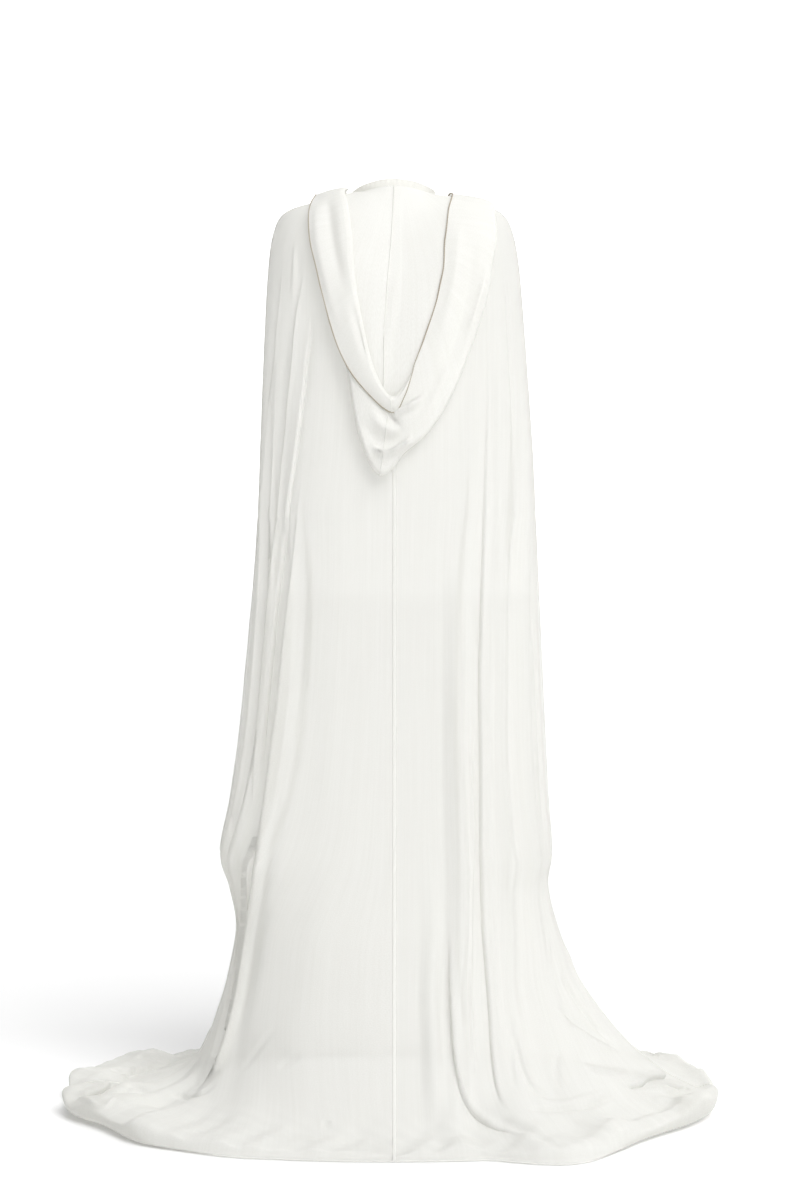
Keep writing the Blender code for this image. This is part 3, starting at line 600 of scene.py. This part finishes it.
def nearby(grid, normal, across, down, crease, reach):
    """The points of a grid near a crease, and where each lies along it and aside from it."""
    line, facing = on_grid(grid, normal, across, down, crease["path"])
    way = np.gradient(line, axis=0)
    step = np.linalg.norm(way, axis=1, keepdims=True)
    way /= step
    near = np.all((grid > line.min(axis=0) - reach) & (grid < line.max(axis=0) + reach), axis=-1)
    points = grid[near]
    nearest = np.argmin(((points[:, None] - line[None]) ** 2).sum(axis=-1), axis=1)
    off = points - line[nearest]
    on_line = np.sum(off * way[nearest], axis=1)
    off -= on_line[:, None] * way[nearest]
    step = step[nearest][:, 0]
    along = (nearest + np.clip(on_line / step, -0.5, 0.5)) / (LINE_STEPS - 1)
    fade = ramp(along / crease["fade_in"]) * ramp((1 - along) / crease["fade_out"])
    same_layer = np.sum(normal[near] * facing[nearest], axis=1) > SAME_LAYER
    fade *= (np.abs(on_line) < step * 1.5) & same_layer
    left = np.cross(way[nearest], facing[nearest])
    aside = np.sum(off * left, axis=1)
    return near, fade, left, aside, np.linalg.norm(off, axis=1)


def pressed(grid, normal, across, down, crease):
    """How one crease moves each point of a grid."""
    near, fade, left, _, far = nearby(grid, normal, across, down, crease, REACH * crease["width"])
    far = far / crease["width"]
    core = np.exp(-far ** 2) * fade * (far < REACH)
    moved = np.zeros_like(grid)
    moved[near] = normal[near] * (crease["depth"] * core * (1 - SWELL_BESIDE * far ** 2))[:, None]
    moved[near] += left * (abs(crease["depth"]) * crease["lean"] * core)[:, None]
    return moved


def lapped(grid, normal, across, down, lap):
    """How one lap moves each point of a grid."""
    near, fade, left, aside, far = nearby(grid, normal, across, down, lap, REACH * lap["spread"])
    past = aside * lap["way"]
    core = np.exp(-(far / lap["width"]) ** 2) * fade
    behind = ramp(past / lap["width"] + 0.5) * np.exp(-(past / lap["spread"]) ** 2) * fade
    behind = behind * (far < REACH * lap["spread"])
    moved = np.zeros_like(grid)
    moved[near] = normal[near] * (lap["rise"] * core - lap["behind"] * behind)[:, None]
    moved[near] += left * (lap["way"] * lap["lap"] * core)[:, None]
    return moved


def cuts(spans):
    """Places along a row of spans, each with its own number of steps."""
    starts = [np.linspace(start, end, steps, endpoint=False) for start, end, steps in spans]
    return np.append(np.concatenate(starts), spans[-1][1])


def draped(face, side, spans):
    """One half of a panel with its folds, its shallow waves, its crumples and its creases."""
    across = cuts(spans)
    down = cuts(STRETCHES)
    share, rows = np.meshgrid(across, down)
    grid = body(face, side, share, rows)
    normal = spread_normals(grid)
    still = ramp((1 - share) / EDGE_STILL) * ramp(share / EDGE_STILL) * ramp(rows / NECK_STILL)
    wave = np.zeros_like(share)
    for row in DRAPE:
        one = dict(zip(DRAPE_COLUMNS, row))
        turns = one["waves"] * share + one["drift"] * rows / len(RINGS) + one["start"]
        wave += one["height"] * np.sin(2 * np.pi * turns)
    wave *= ramp((rows - DRAPE_IN[0]) / (DRAPE_IN[1] - DRAPE_IN[0]))
    wave *= ramp((DRAPE_OUT[1] - rows) / (DRAPE_OUT[1] - DRAPE_OUT[0]))
    wave *= DRAPE_AT_MIDDLE + (1 - DRAPE_AT_MIDDLE) * share
    lie = np.zeros_like(share)
    for row in CRUMPLES:
        one = dict(zip(CRUMPLE_COLUMNS, row))
        turns = one["across"] * grid[..., 0] + one["along"] * grid[..., 1] + one["start"]
        lie += one["height"] * (1 + np.sin(2 * np.pi * turns))
    lie *= ramp((rows - CRUMPLE_IN[0]) / (CRUMPLE_IN[1] - CRUMPLE_IN[0])) * ramp(CRUMPLE_OUT - rows)
    moved = normal * wave[..., None]
    for row in CREASES[face, side]:
        moved += pressed(grid, normal, across, down, dict(zip(CREASE_COLUMNS, row)))
    for row in LAPS[face, side]:
        moved += lapped(grid, normal, across, down, dict(zip(LAP_COLUMNS, row)))
    grid = grid + moved * still[..., None]
    grid[..., 2] += lie
    grid[..., 2] = np.maximum(grid[..., 2], FLOOR + BELOW_HEM)
    return grid, across, down


def sheet_mesh(name, grid, material, grain_across, close=False):
    """A sheet of quads through a grid, with its grain in metres as a map."""
    rows, columns = grid.shape[:2]
    mesh = bpy.data.meshes.new(name)
    index = np.arange(rows * columns).reshape(rows, columns)
    if close:
        index = np.concatenate((index, index[:, :1]), axis=1)
    quads = np.stack((index[:-1, :-1], index[1:, :-1], index[1:, 1:], index[:-1, 1:]), axis=-1)
    mesh.from_pydata(grid.reshape(-1, 3), [], quads.reshape(-1, 4).tolist())
    length = np.linalg.norm(np.diff(grid[:, columns // 2], axis=0), axis=1)
    along = np.concatenate(((0.0,), np.cumsum(length)))
    if np.ndim(grain_across) == 0:
        grain_across = np.linspace(0, grain_across, index.shape[1])
    places = np.stack(np.meshgrid(grain_across, along), axis=-1)
    corners = np.stack((places[:-1, :-1], places[1:, :-1], places[1:, 1:], places[:-1, 1:]), axis=-2)
    grain = mesh.uv_layers.new(name="grain")
    grain.uv.foreach_set("vector", corners.astype(np.float32).ravel())
    mesh.shade_smooth()
    mesh.materials.append(material)
    piece = bpy.data.objects.new(name, mesh)
    scene.collection.objects.link(piece)
    return piece


# Threads of the cloth for each metre across and along the grain, and how detailed their noise is.
SLUBS = (230.0, 5.0, 2.0)
STREAKS = (60.0, 1.5, 1.0)
WEFT = (30.0, 900.0, 1.0)
CREPE = (700.0, 620.0, 2.0)
PALE = 1.02
DEEP = (0.985, 0.983, 0.972)
WARM = (1.0, 0.998, 0.972)


def chiffon(name, colour, opacity, sheen, through=0.28):
    """Crepe chiffon: fine uneven threads both ways that let some light through between them."""
    material = bpy.data.materials.new(name)
    finish = Finish(material)
    grain = finish.node("ShaderNodeUVMap", {"uv_map": "grain"})

    def threads(across, along, detail):
        place = finish.node("ShaderNodeMapping", {}, {"Vector": grain, "Scale": (across, along, 1.0)})
        settings = {"noise_dimensions": "2D"}
        return finish.node("ShaderNodeTexNoise", settings, {"Vector": place, "Scale": 1.0, "Detail": detail})

    slubs = threads(*SLUBS)
    streaks = threads(*STREAKS)
    weft = threads(*WEFT)
    crepe = threads(*CREPE)
    uneven = slubs * 0.75 + streaks * 0.25
    tone = finish.step(uneven * 0.4 + crepe * 0.6, 0.30, 0.70)
    pale = tuple(min(1.0, part * PALE) for part in colour)
    deep = tuple(part * shade for part, shade in zip(colour, DEEP))
    mixed = finish.node("ShaderNodeMix", {"data_type": "RGBA"},
                        {0: tone, 6: (*deep, 1.0), 7: (*pale, 1.0)}, 2)
    height = crepe * 0.55 + slubs * 0.30 + weft * 0.15
    bump = finish.node("ShaderNodeBump", {}, {"Height": height, "Strength": 0.35, "Distance": 0.0008})
    rough = finish.step(crepe, 0.2, 0.8, 0.72, 0.90)
    inputs = {"Base Color": mixed, "Roughness": rough, "Normal": bump, "Sheen Weight": sheen,
              "Sheen Roughness": 0.35, "Specular IOR Level": 0.25}
    faced = finish.node("ShaderNodeBsdfPrincipled", {}, inputs)
    warm = tuple(part * shade for part, shade in zip(colour, WARM))
    lit_through = finish.node("ShaderNodeBsdfTranslucent", {}, {"Color": (*warm, 1.0), "Normal": bump})
    cloth = finish.node("ShaderNodeMixShader", {}, {0: through, 1: faced, 2: lit_through})
    clear = finish.node("ShaderNodeBsdfTransparent", {}, {"Color": (1.0, 1.0, 1.0, 1.0)})
    cover = (opacity - 0.04) + uneven * 0.025 + crepe * 0.055
    shown = finish.node("ShaderNodeMixShader", {}, {0: cover, 1: clear, 2: cloth})
    finish.node("ShaderNodeOutputMaterial", {}, {"Surface": shown})
    return material


def add(piece, slot, *nodes):
    """The piece rides with the garment and stands for these solids, which it hides. slot is not used."""
    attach(piece, "root")
    if nodes:
        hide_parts(*nodes)
    return piece


BODY_COLOUR = (0.850, 0.848, 0.824)
BODY_OPACITY = 0.72
BODY_SHEEN = 0.15
body_chiffon = chiffon("body_chiffon", BODY_COLOUR, BODY_OPACITY, BODY_SHEEN)
front_left, front_across, panel_down = draped("front", "left", FRONT_SPANS)
front_right, _, _ = draped("front", "right", FRONT_SPANS)
front_grid = np.concatenate((front_left[:, ::-1], front_right[:, 1:]), axis=1)
front_grain = np.concatenate((-front_across[::-1], front_across[1:])) * GRAIN_WIDTH
front = add(sheet_mesh("front_cloth", front_grid, body_chiffon, front_grain), "body_cloth", "front_panel")

# Back: two halves of the same chiffon, each cut in one with the back of its cape sleeve, and joined
# down the middle. The left half hangs in deep folds, and the right one sweeps out over the floor.
back_grids = {}
backs = {}
for side, sign in (("left", 1), ("right", -1)):
    back_grids[side], back_across, _ = draped("back", side, BACK_SPANS)
    back_grids[side][..., 0] += sign * SEAM / 2
    name = "back_%s_cloth" % side
    backs[side] = sheet_mesh(name, back_grids[side], body_chiffon, back_across * GRAIN_WIDTH)
    add(backs[side], "body_cloth", "back_panel_" + side)

# Hood: two halves of the same chiffon, layered, seamed from the neckline over the crown to the tip.
# It is thrown back and hangs as a deep cowl, with its free edge turned out over the shoulders.
HOOD_WALL = 0.0012
HOOD_LEGS = (30, 26, 26)
HOOD_TURN_STEPS = 8
HOOD_FINE = 9
FOLD_PART = 0.02
HOOD_COLOUR = (0.940, 0.938, 0.918)
HOOD_OPACITY = 0.93
HOOD_SHEEN = 0.15
HOOD_GRAIN = 0.40
HOOD_COLUMNS = ("neck", "bag", "bag_ring", "roll", "roll_ring", "edge", "edge_ring", "turned")
HOOD_STATIONS = (
    (1.95, 1.95, 0.95, 1.94, 0.35, 1.96, 1.05, 1.0),
    (1.75, 1.72, 1.10, 1.74, 0.32, 1.73, 1.25, 1.0),
    (1.50, 1.46, 1.25, 1.47, 0.32, 1.44, 1.42, 1.0),
    (1.24, 1.18, 1.25, 1.20, 0.32, 1.15, 1.36, 1.0),
    (0.98, 0.92, 1.28, 0.94, 0.32, 0.88, 1.40, 0.8),
    (0.74, 0.69, 1.60, 0.69, 0.42, 0.68, 1.76, 0.8),
    (0.54, 0.48, 2.60, 0.40, 1.40, 0.53, 2.85, 1.0),
    (0.40, 0.395, 4.00, 0.27, 2.54, 0.427, 4.20, 1.0),
    (0.30, 0.350, 5.00, 0.216, 3.73, 0.380, 5.18, 1.0),
    (0.22, 0.305, 5.98, 0.188, 4.90, 0.332, 6.00, 1.0),
    (0.15, 0.250, 6.72, 0.160, 5.75, 0.268, 6.52, 1.0),
    (0.08, 0.190, 7.55, 0.110, 6.48, 0.170, 6.88, 1.0),
    (0.00, 0.068, 8.26, 0.020, 6.96, 0.012, 7.24, 1.0),
    (-0.08, -0.060, 7.87, -0.060, 6.78, -0.062, 6.98, 0.6),
    (-0.15, -0.190, 7.60, -0.128, 6.40, -0.118, 6.48, 0.2),
    (-0.23, -0.300, 7.20, -0.190, 5.98, -0.172, 6.00, 0.0),
    (-0.31, -0.400, 6.58, -0.260, 5.30, -0.228, 5.28, 0.0),
    (-0.43, -0.495, 5.70, -0.300, 4.42, -0.262, 4.42, 0.0),
    (-0.58, -0.560, 4.40, -0.355, 3.00, -0.318, 2.98, 0.0),
    (-0.78, -0.690, 2.90, -0.510, 1.80, -0.460, 1.62, 0.0),
    (-1.00, -0.920, 2.00, -0.890, 0.98, -0.800, 0.74, 0.0),
    (-1.25, -1.200, 1.72, -1.200, 0.85, -1.200, 0.55, 0.0),
    (-1.50, -1.470, 1.45, -1.480, 0.65, -1.480, 0.36, 0.0),
    (-1.75, -1.730, 1.20, -1.740, 0.60, -1.740, 0.35, 0.0),
    (-1.95, -1.950, 0.95, -1.950, 0.55, -1.950, 0.35, 0.0),
)
HOOD_MIDDLE = 12
NECK_RING = 0.07
LIFT_STEP = 0.004
UPWARD = 0.05

# Heights of the hood's layers over the body: the inner layer from the neckline to the bag, the outer
# one, the soft roll where the cloth turns out, its free edge, and what they gain round the mouth.
INNER_LIFT = (0.0024, 0.0050)
OUTER_LIFT = 0.0080
MOUTH_LIFT = 0.0180
ROLL_STEP = 0.0090
ROLL_CROWN = 0.0030
EDGE_STEP = 0.0050
INNER_BULGE = 0.0030
INNER_RISE = 0.075
INNER_BELOW = 0.0030
INNER_START = 0.15
BAG_BULGE = 0.0025
TURN = 0.010
LARGEST_TURN = 0.3


def smooth_body(place, rows):
    """Points of the body without folds or openings, for places from the back to the front."""
    points = np.zeros(np.shape(place) + (3,))
    for side, on_side in (("left", place >= 0), ("right", place < 0)):
        for face, on_face in (("back", np.abs(place) <= 1), ("front", np.abs(place) > 1)):
            here = on_side & on_face
            share = np.abs(place[here]) if face == "back" else 2 - np.abs(place[here])
            points[here] = body(face, side, share, rows[here], folded=False, seamed=False)
    return points


def over_body(place, rows, lift):
    """Points at a lift over the smooth body. Up counts as outward too, for the shoulders."""
    place, rows, lift = np.broadcast_arrays(place, rows, lift)
    across = smooth_body(place + LIFT_STEP, rows) - smooth_body(place - LIFT_STEP, rows)
    down = smooth_body(place, rows + LIFT_STEP) - smooth_body(place, rows - LIFT_STEP)
    normal = np.cross(down, across)
    normal /= np.linalg.norm(normal, axis=-1, keepdims=True)
    points = smooth_body(place, rows)
    away = points * (1, 1, 0) + (0, 0, UPWARD)
    outward = np.sum(normal * away, axis=-1, keepdims=True)
    return points + normal * np.sign(outward) * lift[..., None]


def hood_profile(station):
    """One section of the hood from the neck to the face edge, as places, rings and lifts."""
    size = dict(zip(HOOD_COLUMNS, (smooth([row[k] for row in HOOD_STATIONS], station)
                                   for k in range(len(HOOD_COLUMNS)))))
    neck = np.array((size["neck"], NECK_RING))
    bag = np.array((size["bag"], size["bag_ring"]))
    roll = np.array((size["roll"], size["roll_ring"]))
    edge = np.array((size["edge"], size["edge_ring"]))
    places, rings = np.stack((neck, bag, roll, edge), axis=1)
    corners = over_body(places, rings, 0.0)
    length = np.linalg.norm(np.diff(corners, axis=0), axis=1)
    gape = math.sin(math.pi * station / (len(HOOD_STATIONS) - 1)) ** 3
    outer = OUTER_LIFT + MOUTH_LIFT * gape
    flap = outer + ROLL_STEP * size["turned"]
    end = outer + EDGE_STEP * size["turned"]
    bulge = BAG_BULGE * gape
    turn = np.minimum(TURN / length, LARGEST_TURN)
    points = []

    def leg(start, end, cut_start, cut_end, lift_start, lift_end, bulge, steps):
        for step in np.linspace(0, 1, steps + 1):
            along = cut_start + (1 - cut_start - cut_end) * step
            lift = lift_start + (lift_end - lift_start) * step + bulge * math.sin(math.pi * along)
            points.append((*(start + (end - start) * along), lift))

    def fold(before, at, after, cut_before, cut_after, lift_before, lift_after, bulge):
        for step in range(1, HOOD_TURN_STEPS):
            way = -math.pi / 2 + math.pi * step / HOOD_TURN_STEPS
            pull = 1 - math.cos(way)
            other, cut = (before, cut_before) if way < 0 else (after, cut_after)
            lift = (lift_before + lift_after) / 2 + (lift_after - lift_before) / 2 * math.sin(way)
            lift += bulge * math.sin(math.pi * cut) * pull
            points.append((*(at + (other - at) * cut * pull), lift))

    leg(neck, bag, 0.0, turn[0], *INNER_LIFT, INNER_BULGE * gape, HOOD_LEGS[0])
    fold(neck, bag, roll, turn[0], turn[1], INNER_LIFT[1], outer, 0.0)
    leg(bag, roll, turn[1], turn[1], outer, outer, bulge, HOOD_LEGS[1])
    fold(bag, roll, edge, turn[1], turn[2], outer, flap, 0.0)
    leg(roll, edge, turn[2], 0.0, flap, end, ROLL_CROWN * size["turned"], HOOD_LEGS[2])
    return np.array(points)


# Creases of the hood, as those of the body, over stations across the hood and its layers downward.
HOOD_CREASES = (
    (((5.6, 2.40), (6.4, 2.43), (7.3, 2.42), (8.2, 2.36), (9.0, 2.30)), 0.013, -0.006, 0.0, 0.2, 0.4),
    (((5.6, 2.76), (6.8, 2.80), (8.2, 2.80), (9.6, 2.78)), 0.010, 0.003, 0.0, 0.3, 0.4),
    (((9.1, 2.13), (10.0, 2.10), (10.8, 2.02)), 0.009, -0.003, 0.0, 0.3, 0.3),
    (((12.15, 0.46), (12.11, 0.55), (12.08, 0.65), (11.89, 0.73), (11.67, 0.80)),
     0.0035, -0.004, 0.5, 0.2, 0.2),
    (((12.1, 1.84), (12.4, 1.76), (12.96, 1.64), (13.44, 1.54), (13.83, 1.48), (14.22, 1.43)),
     0.005, -0.011, 0.5, 0.15, 0.4),
    (((12.0, 1.85), (12.33, 1.72), (12.74, 1.50), (12.98, 1.33)), 0.004, 0.006, 0.0, 0.3, 0.4),
    (((11.1, 1.17), (11.4, 1.24), (11.8, 1.39), (12.4, 1.41), (13.0, 1.28), (13.55, 1.24)),
     0.012, 0.005, 0.0, 0.3, 0.3),
    (((11.3, 1.48), (11.8, 1.60), (12.3, 1.57), (12.9, 1.39)), 0.010, -0.005, 0.0, 0.3, 0.3),
    (((11.6, 1.17), (11.9, 1.24), (12.4, 1.22), (12.9, 1.06), (13.35, 1.02)),
     0.005, -0.014, 0.5, 0.2, 0.1),
    (((18.6, 1.99), (17.3, 1.98), (16.3, 1.87), (15.4, 1.76), (14.7, 1.76)), 0.014, -0.004, 0.0, 0.3, 0.3),
    (((18.2, 1.55), (17.3, 1.46), (16.4, 1.35), (15.8, 1.31), (15.1, 1.31), (14.3, 1.31)),
     0.012, 0.004, 0.0, 0.3, 0.3),
    (((17.6, 1.04), (17.1, 1.09), (16.5, 1.09), (16.1, 1.09)), 0.006, -0.005, 0.0, 0.3, 0.3),
    (((15.6, 1.29), (15.0, 1.27), (14.3, 1.22), (13.6, 1.16)), 0.009, -0.004, 0.0, 0.3, 0.3),
)


def hood_sheet():
    """The hood's cloth from the neckline down to the bag, up to the roll and out to its free edge.

    Its normals, its stations and its places downward come with it.
    """
    stations = np.linspace(0, len(HOOD_STATIONS) - 1, (len(HOOD_STATIONS) - 1) * HOOD_FINE + 1)
    profiles = np.stack([hood_profile(station) for station in stations], axis=1)
    sheet = over_body(profiles[..., 0], profiles[..., 1], profiles[..., 2])
    under = over_body(profiles[..., 0], profiles[..., 1], profiles[..., 2] - HOOD_WALL) - sheet
    normal = np.cross(np.gradient(sheet, axis=0), np.gradient(sheet, axis=1))
    normal /= np.linalg.norm(normal, axis=-1, keepdims=True)
    if np.sum(normal[0] * under[0]) > 0:
        normal = -normal
    marks = [0.0, 1 - FOLD_PART, 1 + FOLD_PART, 2 - FOLD_PART, 2 + FOLD_PART, 3.0]
    counts = (HOOD_LEGS[0], HOOD_TURN_STEPS, HOOD_LEGS[1], HOOD_TURN_STEPS, HOOD_LEGS[2])
    down = [0.0]
    for start, end, steps in zip(marks, marks[1:], counts):
        down += list(np.linspace(start, end, steps + 1)[1:])
    return sheet - normal * HOOD_WALL / 2, normal, stations, np.array(down)


def risen(sheet, normal):
    """The same sheet, with its inner layer risen softly towards the roll that it passes behind."""
    roll = sheet[sum(HOOD_LEGS[:2]) + HOOD_TURN_STEPS * 3 // 2]
    mouth = np.sin(np.pi * np.linspace(0, 1, sheet.shape[1])) ** 3
    inner = sheet[:HOOD_LEGS[0]]
    apart = np.linalg.norm(inner[:, :, None] - roll, axis=-1)
    nearest = np.argmin(apart, axis=-1)
    closeness = np.exp(-(apart.min(axis=-1) / INNER_RISE) ** 2)
    height = OUTER_LIFT + MOUTH_LIFT * mouth[nearest] - INNER_LIFT[1] - INNER_BELOW
    fade = ramp(np.arange(len(inner)) / len(inner) / INNER_START)[:, None]
    result = sheet.copy()
    result[:HOOD_LEGS[0]] += normal[:HOOD_LEGS[0]] * (height * closeness * fade)[..., None]
    return result


hood_chiffon = chiffon("hood_chiffon", HOOD_COLOUR, HOOD_OPACITY, HOOD_SHEEN)
hood_grid, hood_normal, hood_across, hood_down = hood_sheet()
hood_grid = risen(hood_grid, hood_normal)
hood_moved = np.zeros_like(hood_grid)
for row in HOOD_CREASES:
    crease = dict(zip(CREASE_COLUMNS, row))
    hood_moved += pressed(hood_grid, hood_normal, hood_across, hood_down, crease)
hood_grid = hood_grid + hood_moved
hood_middle = HOOD_MIDDLE * HOOD_FINE
hoods = {}
hood_sides = (("left", 1, slice(None, hood_middle + 1)), ("right", -1, slice(hood_middle, None)))
for side, sign, columns in hood_sides:
    half = hood_grid[:, columns] + (sign * SEAM / 2, 0.0, 0.0)
    hoods[side] = sheet_mesh("hood_%s_cloth" % side, half, hood_chiffon, HOOD_GRAIN)
    add(hoods[side], "hood_cloth", "hood_" + side)

# Neckband: a narrow strip of the same chiffon, folded double and sewn over the neckline, so that it
# stands a little and covers the raw edges of the body and the hood.
BAND_HEIGHT = 0.013
BAND_WALL = 0.0026
BAND_STEPS = 10
BAND_COLUMNS = 120
BAND_FOOT = ((1.0, 0.0), (0.96, 0.35), (0.90, 0.7))
BAND_RIPPLES = ((47, 0.00035), (9, 0.0005))
BAND_COLOUR = (0.965, 0.962, 0.945)
BAND_OPACITY = 0.90
BAND_SHEEN = 0.10
BAND_THROUGH = 0.50
BAND_GRAIN = 0.50


def round_the_neck(row):
    """Points of the neckline's ring, from the middle of the back over the left side and back again."""
    share = np.linspace(0.0, 1.0, BAND_COLUMNS + 1)
    ways = (("back", "left", share[:-1]), ("front", "left", share[:0:-1]),
            ("front", "right", share[:-1]), ("back", "right", share[:0:-1]))
    return np.concatenate([body(face, side, part, np.full_like(part, row), seamed=False)
                           for face, side, part in ways])


def neckband():
    """The doubled strip, open at its foot and rounded at its top."""
    rim = round_the_neck(0.0)
    outward = rim * (1, 1, 0)
    outward /= np.linalg.norm(outward, axis=1, keepdims=True)
    half = BAND_WALL / 2
    section = [(half * out, up) for out, up in BAND_FOOT]
    for step in range(BAND_STEPS + 1):
        way = math.pi * step / BAND_STEPS
        section.append((half * math.cos(way), 1 + (math.sin(way) - 1) * half / BAND_HEIGHT))
    section += [(-half * out, up) for out, up in reversed(BAND_FOOT)]
    around = np.arange(len(rim)) / len(rim)
    rows = []
    for out, up in section:
        ripple = sum(high * np.sin(2 * np.pi * count * around) * up for count, high in BAND_RIPPLES)
        rows.append(rim + outward * (out + ripple)[:, None] + (0, 0, SEAM + BAND_HEIGHT * up))
    return np.stack(rows)


band_chiffon = chiffon("band_chiffon", BAND_COLOUR, BAND_OPACITY, BAND_SHEEN, BAND_THROUGH)
band = sheet_mesh("neckband_cloth", neckband(), band_chiffon, BAND_GRAIN, close=True)
add(band, "band_cloth", "neckband")

# Narrow rolled hems: the edge of the chiffon is rolled to a fine cord and held by close overlocking,
# round the sleeve openings, along the train and on the free edge of the hood. The hood's cord is
# painted dark brown there, as painted shadow along its free edge.
HEM_RADIUS = 0.0011
HEM_SIDES = 6
STITCH = 0.0034
STITCH_BITE = 0.22
UNEVEN = 0.10
UNEVEN_TURNS = 71.0
HEM_STEP = 0.0011
HEM_GRAIN = 0.004
HEM_COLOUR = (0.900, 0.897, 0.875)
# Painted shadow: the hood hem's dark brown stands for the shade along the hood's turned-out free edge.
HOOD_HEM_PAINTED_SHADOW_COLOUR = (0.500, 0.445, 0.365)
HEM_OPACITY = 0.97
HEM_SHEEN = 0.10
HEM_THROUGH = 0.15
ASKEW = (0.31, 0.22, 0.93)


def stitched_edge(name, edge, material, slot, looped=False):
    """A fine cord along an edge, drawn in a little under each stitch."""
    if looped:
        edge = np.concatenate((edge, edge[:1]))
    length = np.concatenate(((0.0,), np.cumsum(np.linalg.norm(np.diff(edge, axis=0), axis=1))))
    at = np.linspace(0, length[-1], max(int(length[-1] / HEM_STEP), 8))
    line = np.stack([np.interp(at, length, edge[:, k]) for k in range(3)], axis=1)
    way = np.gradient(line, axis=0)
    way /= np.linalg.norm(way, axis=1, keepdims=True)
    side = np.cross(way, ASKEW)
    side /= np.linalg.norm(side, axis=1, keepdims=True)
    up = np.cross(way, side)
    bite = STITCH_BITE * np.cos(2 * np.pi * at / STITCH)
    radius = HEM_RADIUS * (1 + bite + UNEVEN * np.sin(at * UNEVEN_TURNS))
    turns = np.linspace(0, 2 * np.pi, HEM_SIDES, endpoint=False)
    rows = [line + (side * math.cos(turn) + up * math.sin(turn)) * radius[:, None] for turn in turns]
    grid = np.stack(rows, axis=1)
    grid[..., 2] = np.maximum(grid[..., 2], FLOOR + BELOW_HEM / 2)
    return add(sheet_mesh(name, grid, material, HEM_GRAIN, close=True), slot)


hem_chiffon = chiffon("hem_chiffon", HEM_COLOUR, HEM_OPACITY, HEM_SHEEN, HEM_THROUGH)
# The hood hem's material carries painted shadow: its dark brown stands for the shade under the free edge.
hood_hem_painted_shadow = chiffon("hood_hem_painted_shadow", HOOD_HEM_PAINTED_SHADOW_COLOUR, HEM_OPACITY, HEM_SHEEN, HEM_THROUGH)
train = np.concatenate((front_grid[-1], back_grids["right"][-1, ::-1], back_grids["left"][-1]))
train_hem = stitched_edge("train_hem", train, hem_chiffon, "body_cloth", looped=True)
hood_hem = stitched_edge("hood_hem", hood_grid[-1], hood_hem_painted_shadow, "hood_cloth")
for side, front_edge in (("left", front_grid[:, 0]), ("right", front_grid[:, -1])):
    opening = (panel_down > WRIST_ROW) & (panel_down < TIP_ROW)
    edge = np.concatenate((back_grids[side][opening, -1], front_edge[opening][::-1]))
    stitched_edge("sleeve_hem_" + side, edge, hem_chiffon, "body_cloth")

# Seams: the middle of the back is a flat one, four thicknesses of chiffon stitched down. Finer ones
# run over the shoulders, down the sides under the sleeve openings, and down the middle of the hood.
SEAM_WIDTH = 0.0055
SEAM_RAISE = 0.0011
SEAM_PROFILE = ((-0.5, -0.0004), (-0.46, 0.7), (-0.2, 1.0), (0.0, 0.85), (0.2, 1.0), (0.46, 0.7),
                (0.5, -0.0004))
SEAM_COLOUR = (0.870, 0.868, 0.846)
SEAM_OPACITY = 0.95
SEAM_SHEEN = 0.10
SEAM_THROUGH = 0.20
SHOULDER_FROM = 0.25


def flat_seam(name, line, across, material):
    """A narrow raised strip that follows a line down the back."""
    way = np.gradient(line, axis=0)
    out = np.cross(way, across)
    out /= np.linalg.norm(out, axis=1, keepdims=True)
    out *= np.sign(np.sum(out * (0.0, 1.0, 0.3)))
    rows = [line + across * SEAM_WIDTH * part + out * SEAM_RAISE * rise for part, rise in SEAM_PROFILE]
    return add(sheet_mesh(name, np.stack(rows, axis=1), material, SEAM_WIDTH), "body_cloth")


seam_chiffon = chiffon("seam_chiffon", SEAM_COLOUR, SEAM_OPACITY, SEAM_SHEEN, SEAM_THROUGH)
middle_line = (back_grids["left"][:, 0] + back_grids["right"][:, 0]) / 2
middle_seam = flat_seam("middle_seam", middle_line, np.array((1.0, 0.0, 0.0)), seam_chiffon)
for side, front_edge in (("left", front_grid[:, 0]), ("right", front_grid[:, -1])):
    edge = (back_grids[side][:, -1] + front_edge) / 2
    over_shoulder = (panel_down > SHOULDER_FROM) & (panel_down <= WRIST_ROW)
    down_side = (panel_down >= TIP_ROW) & (panel_down < panel_down[-1])
    for name, part in (("shoulder", over_shoulder), ("side", down_side)):
        stitched_edge(name + "_seam_" + side, edge[part], seam_chiffon, "body_cloth")
hood_seam = stitched_edge("hood_seam", hood_grid[:, hood_middle], hood_chiffon, "hood_cloth")
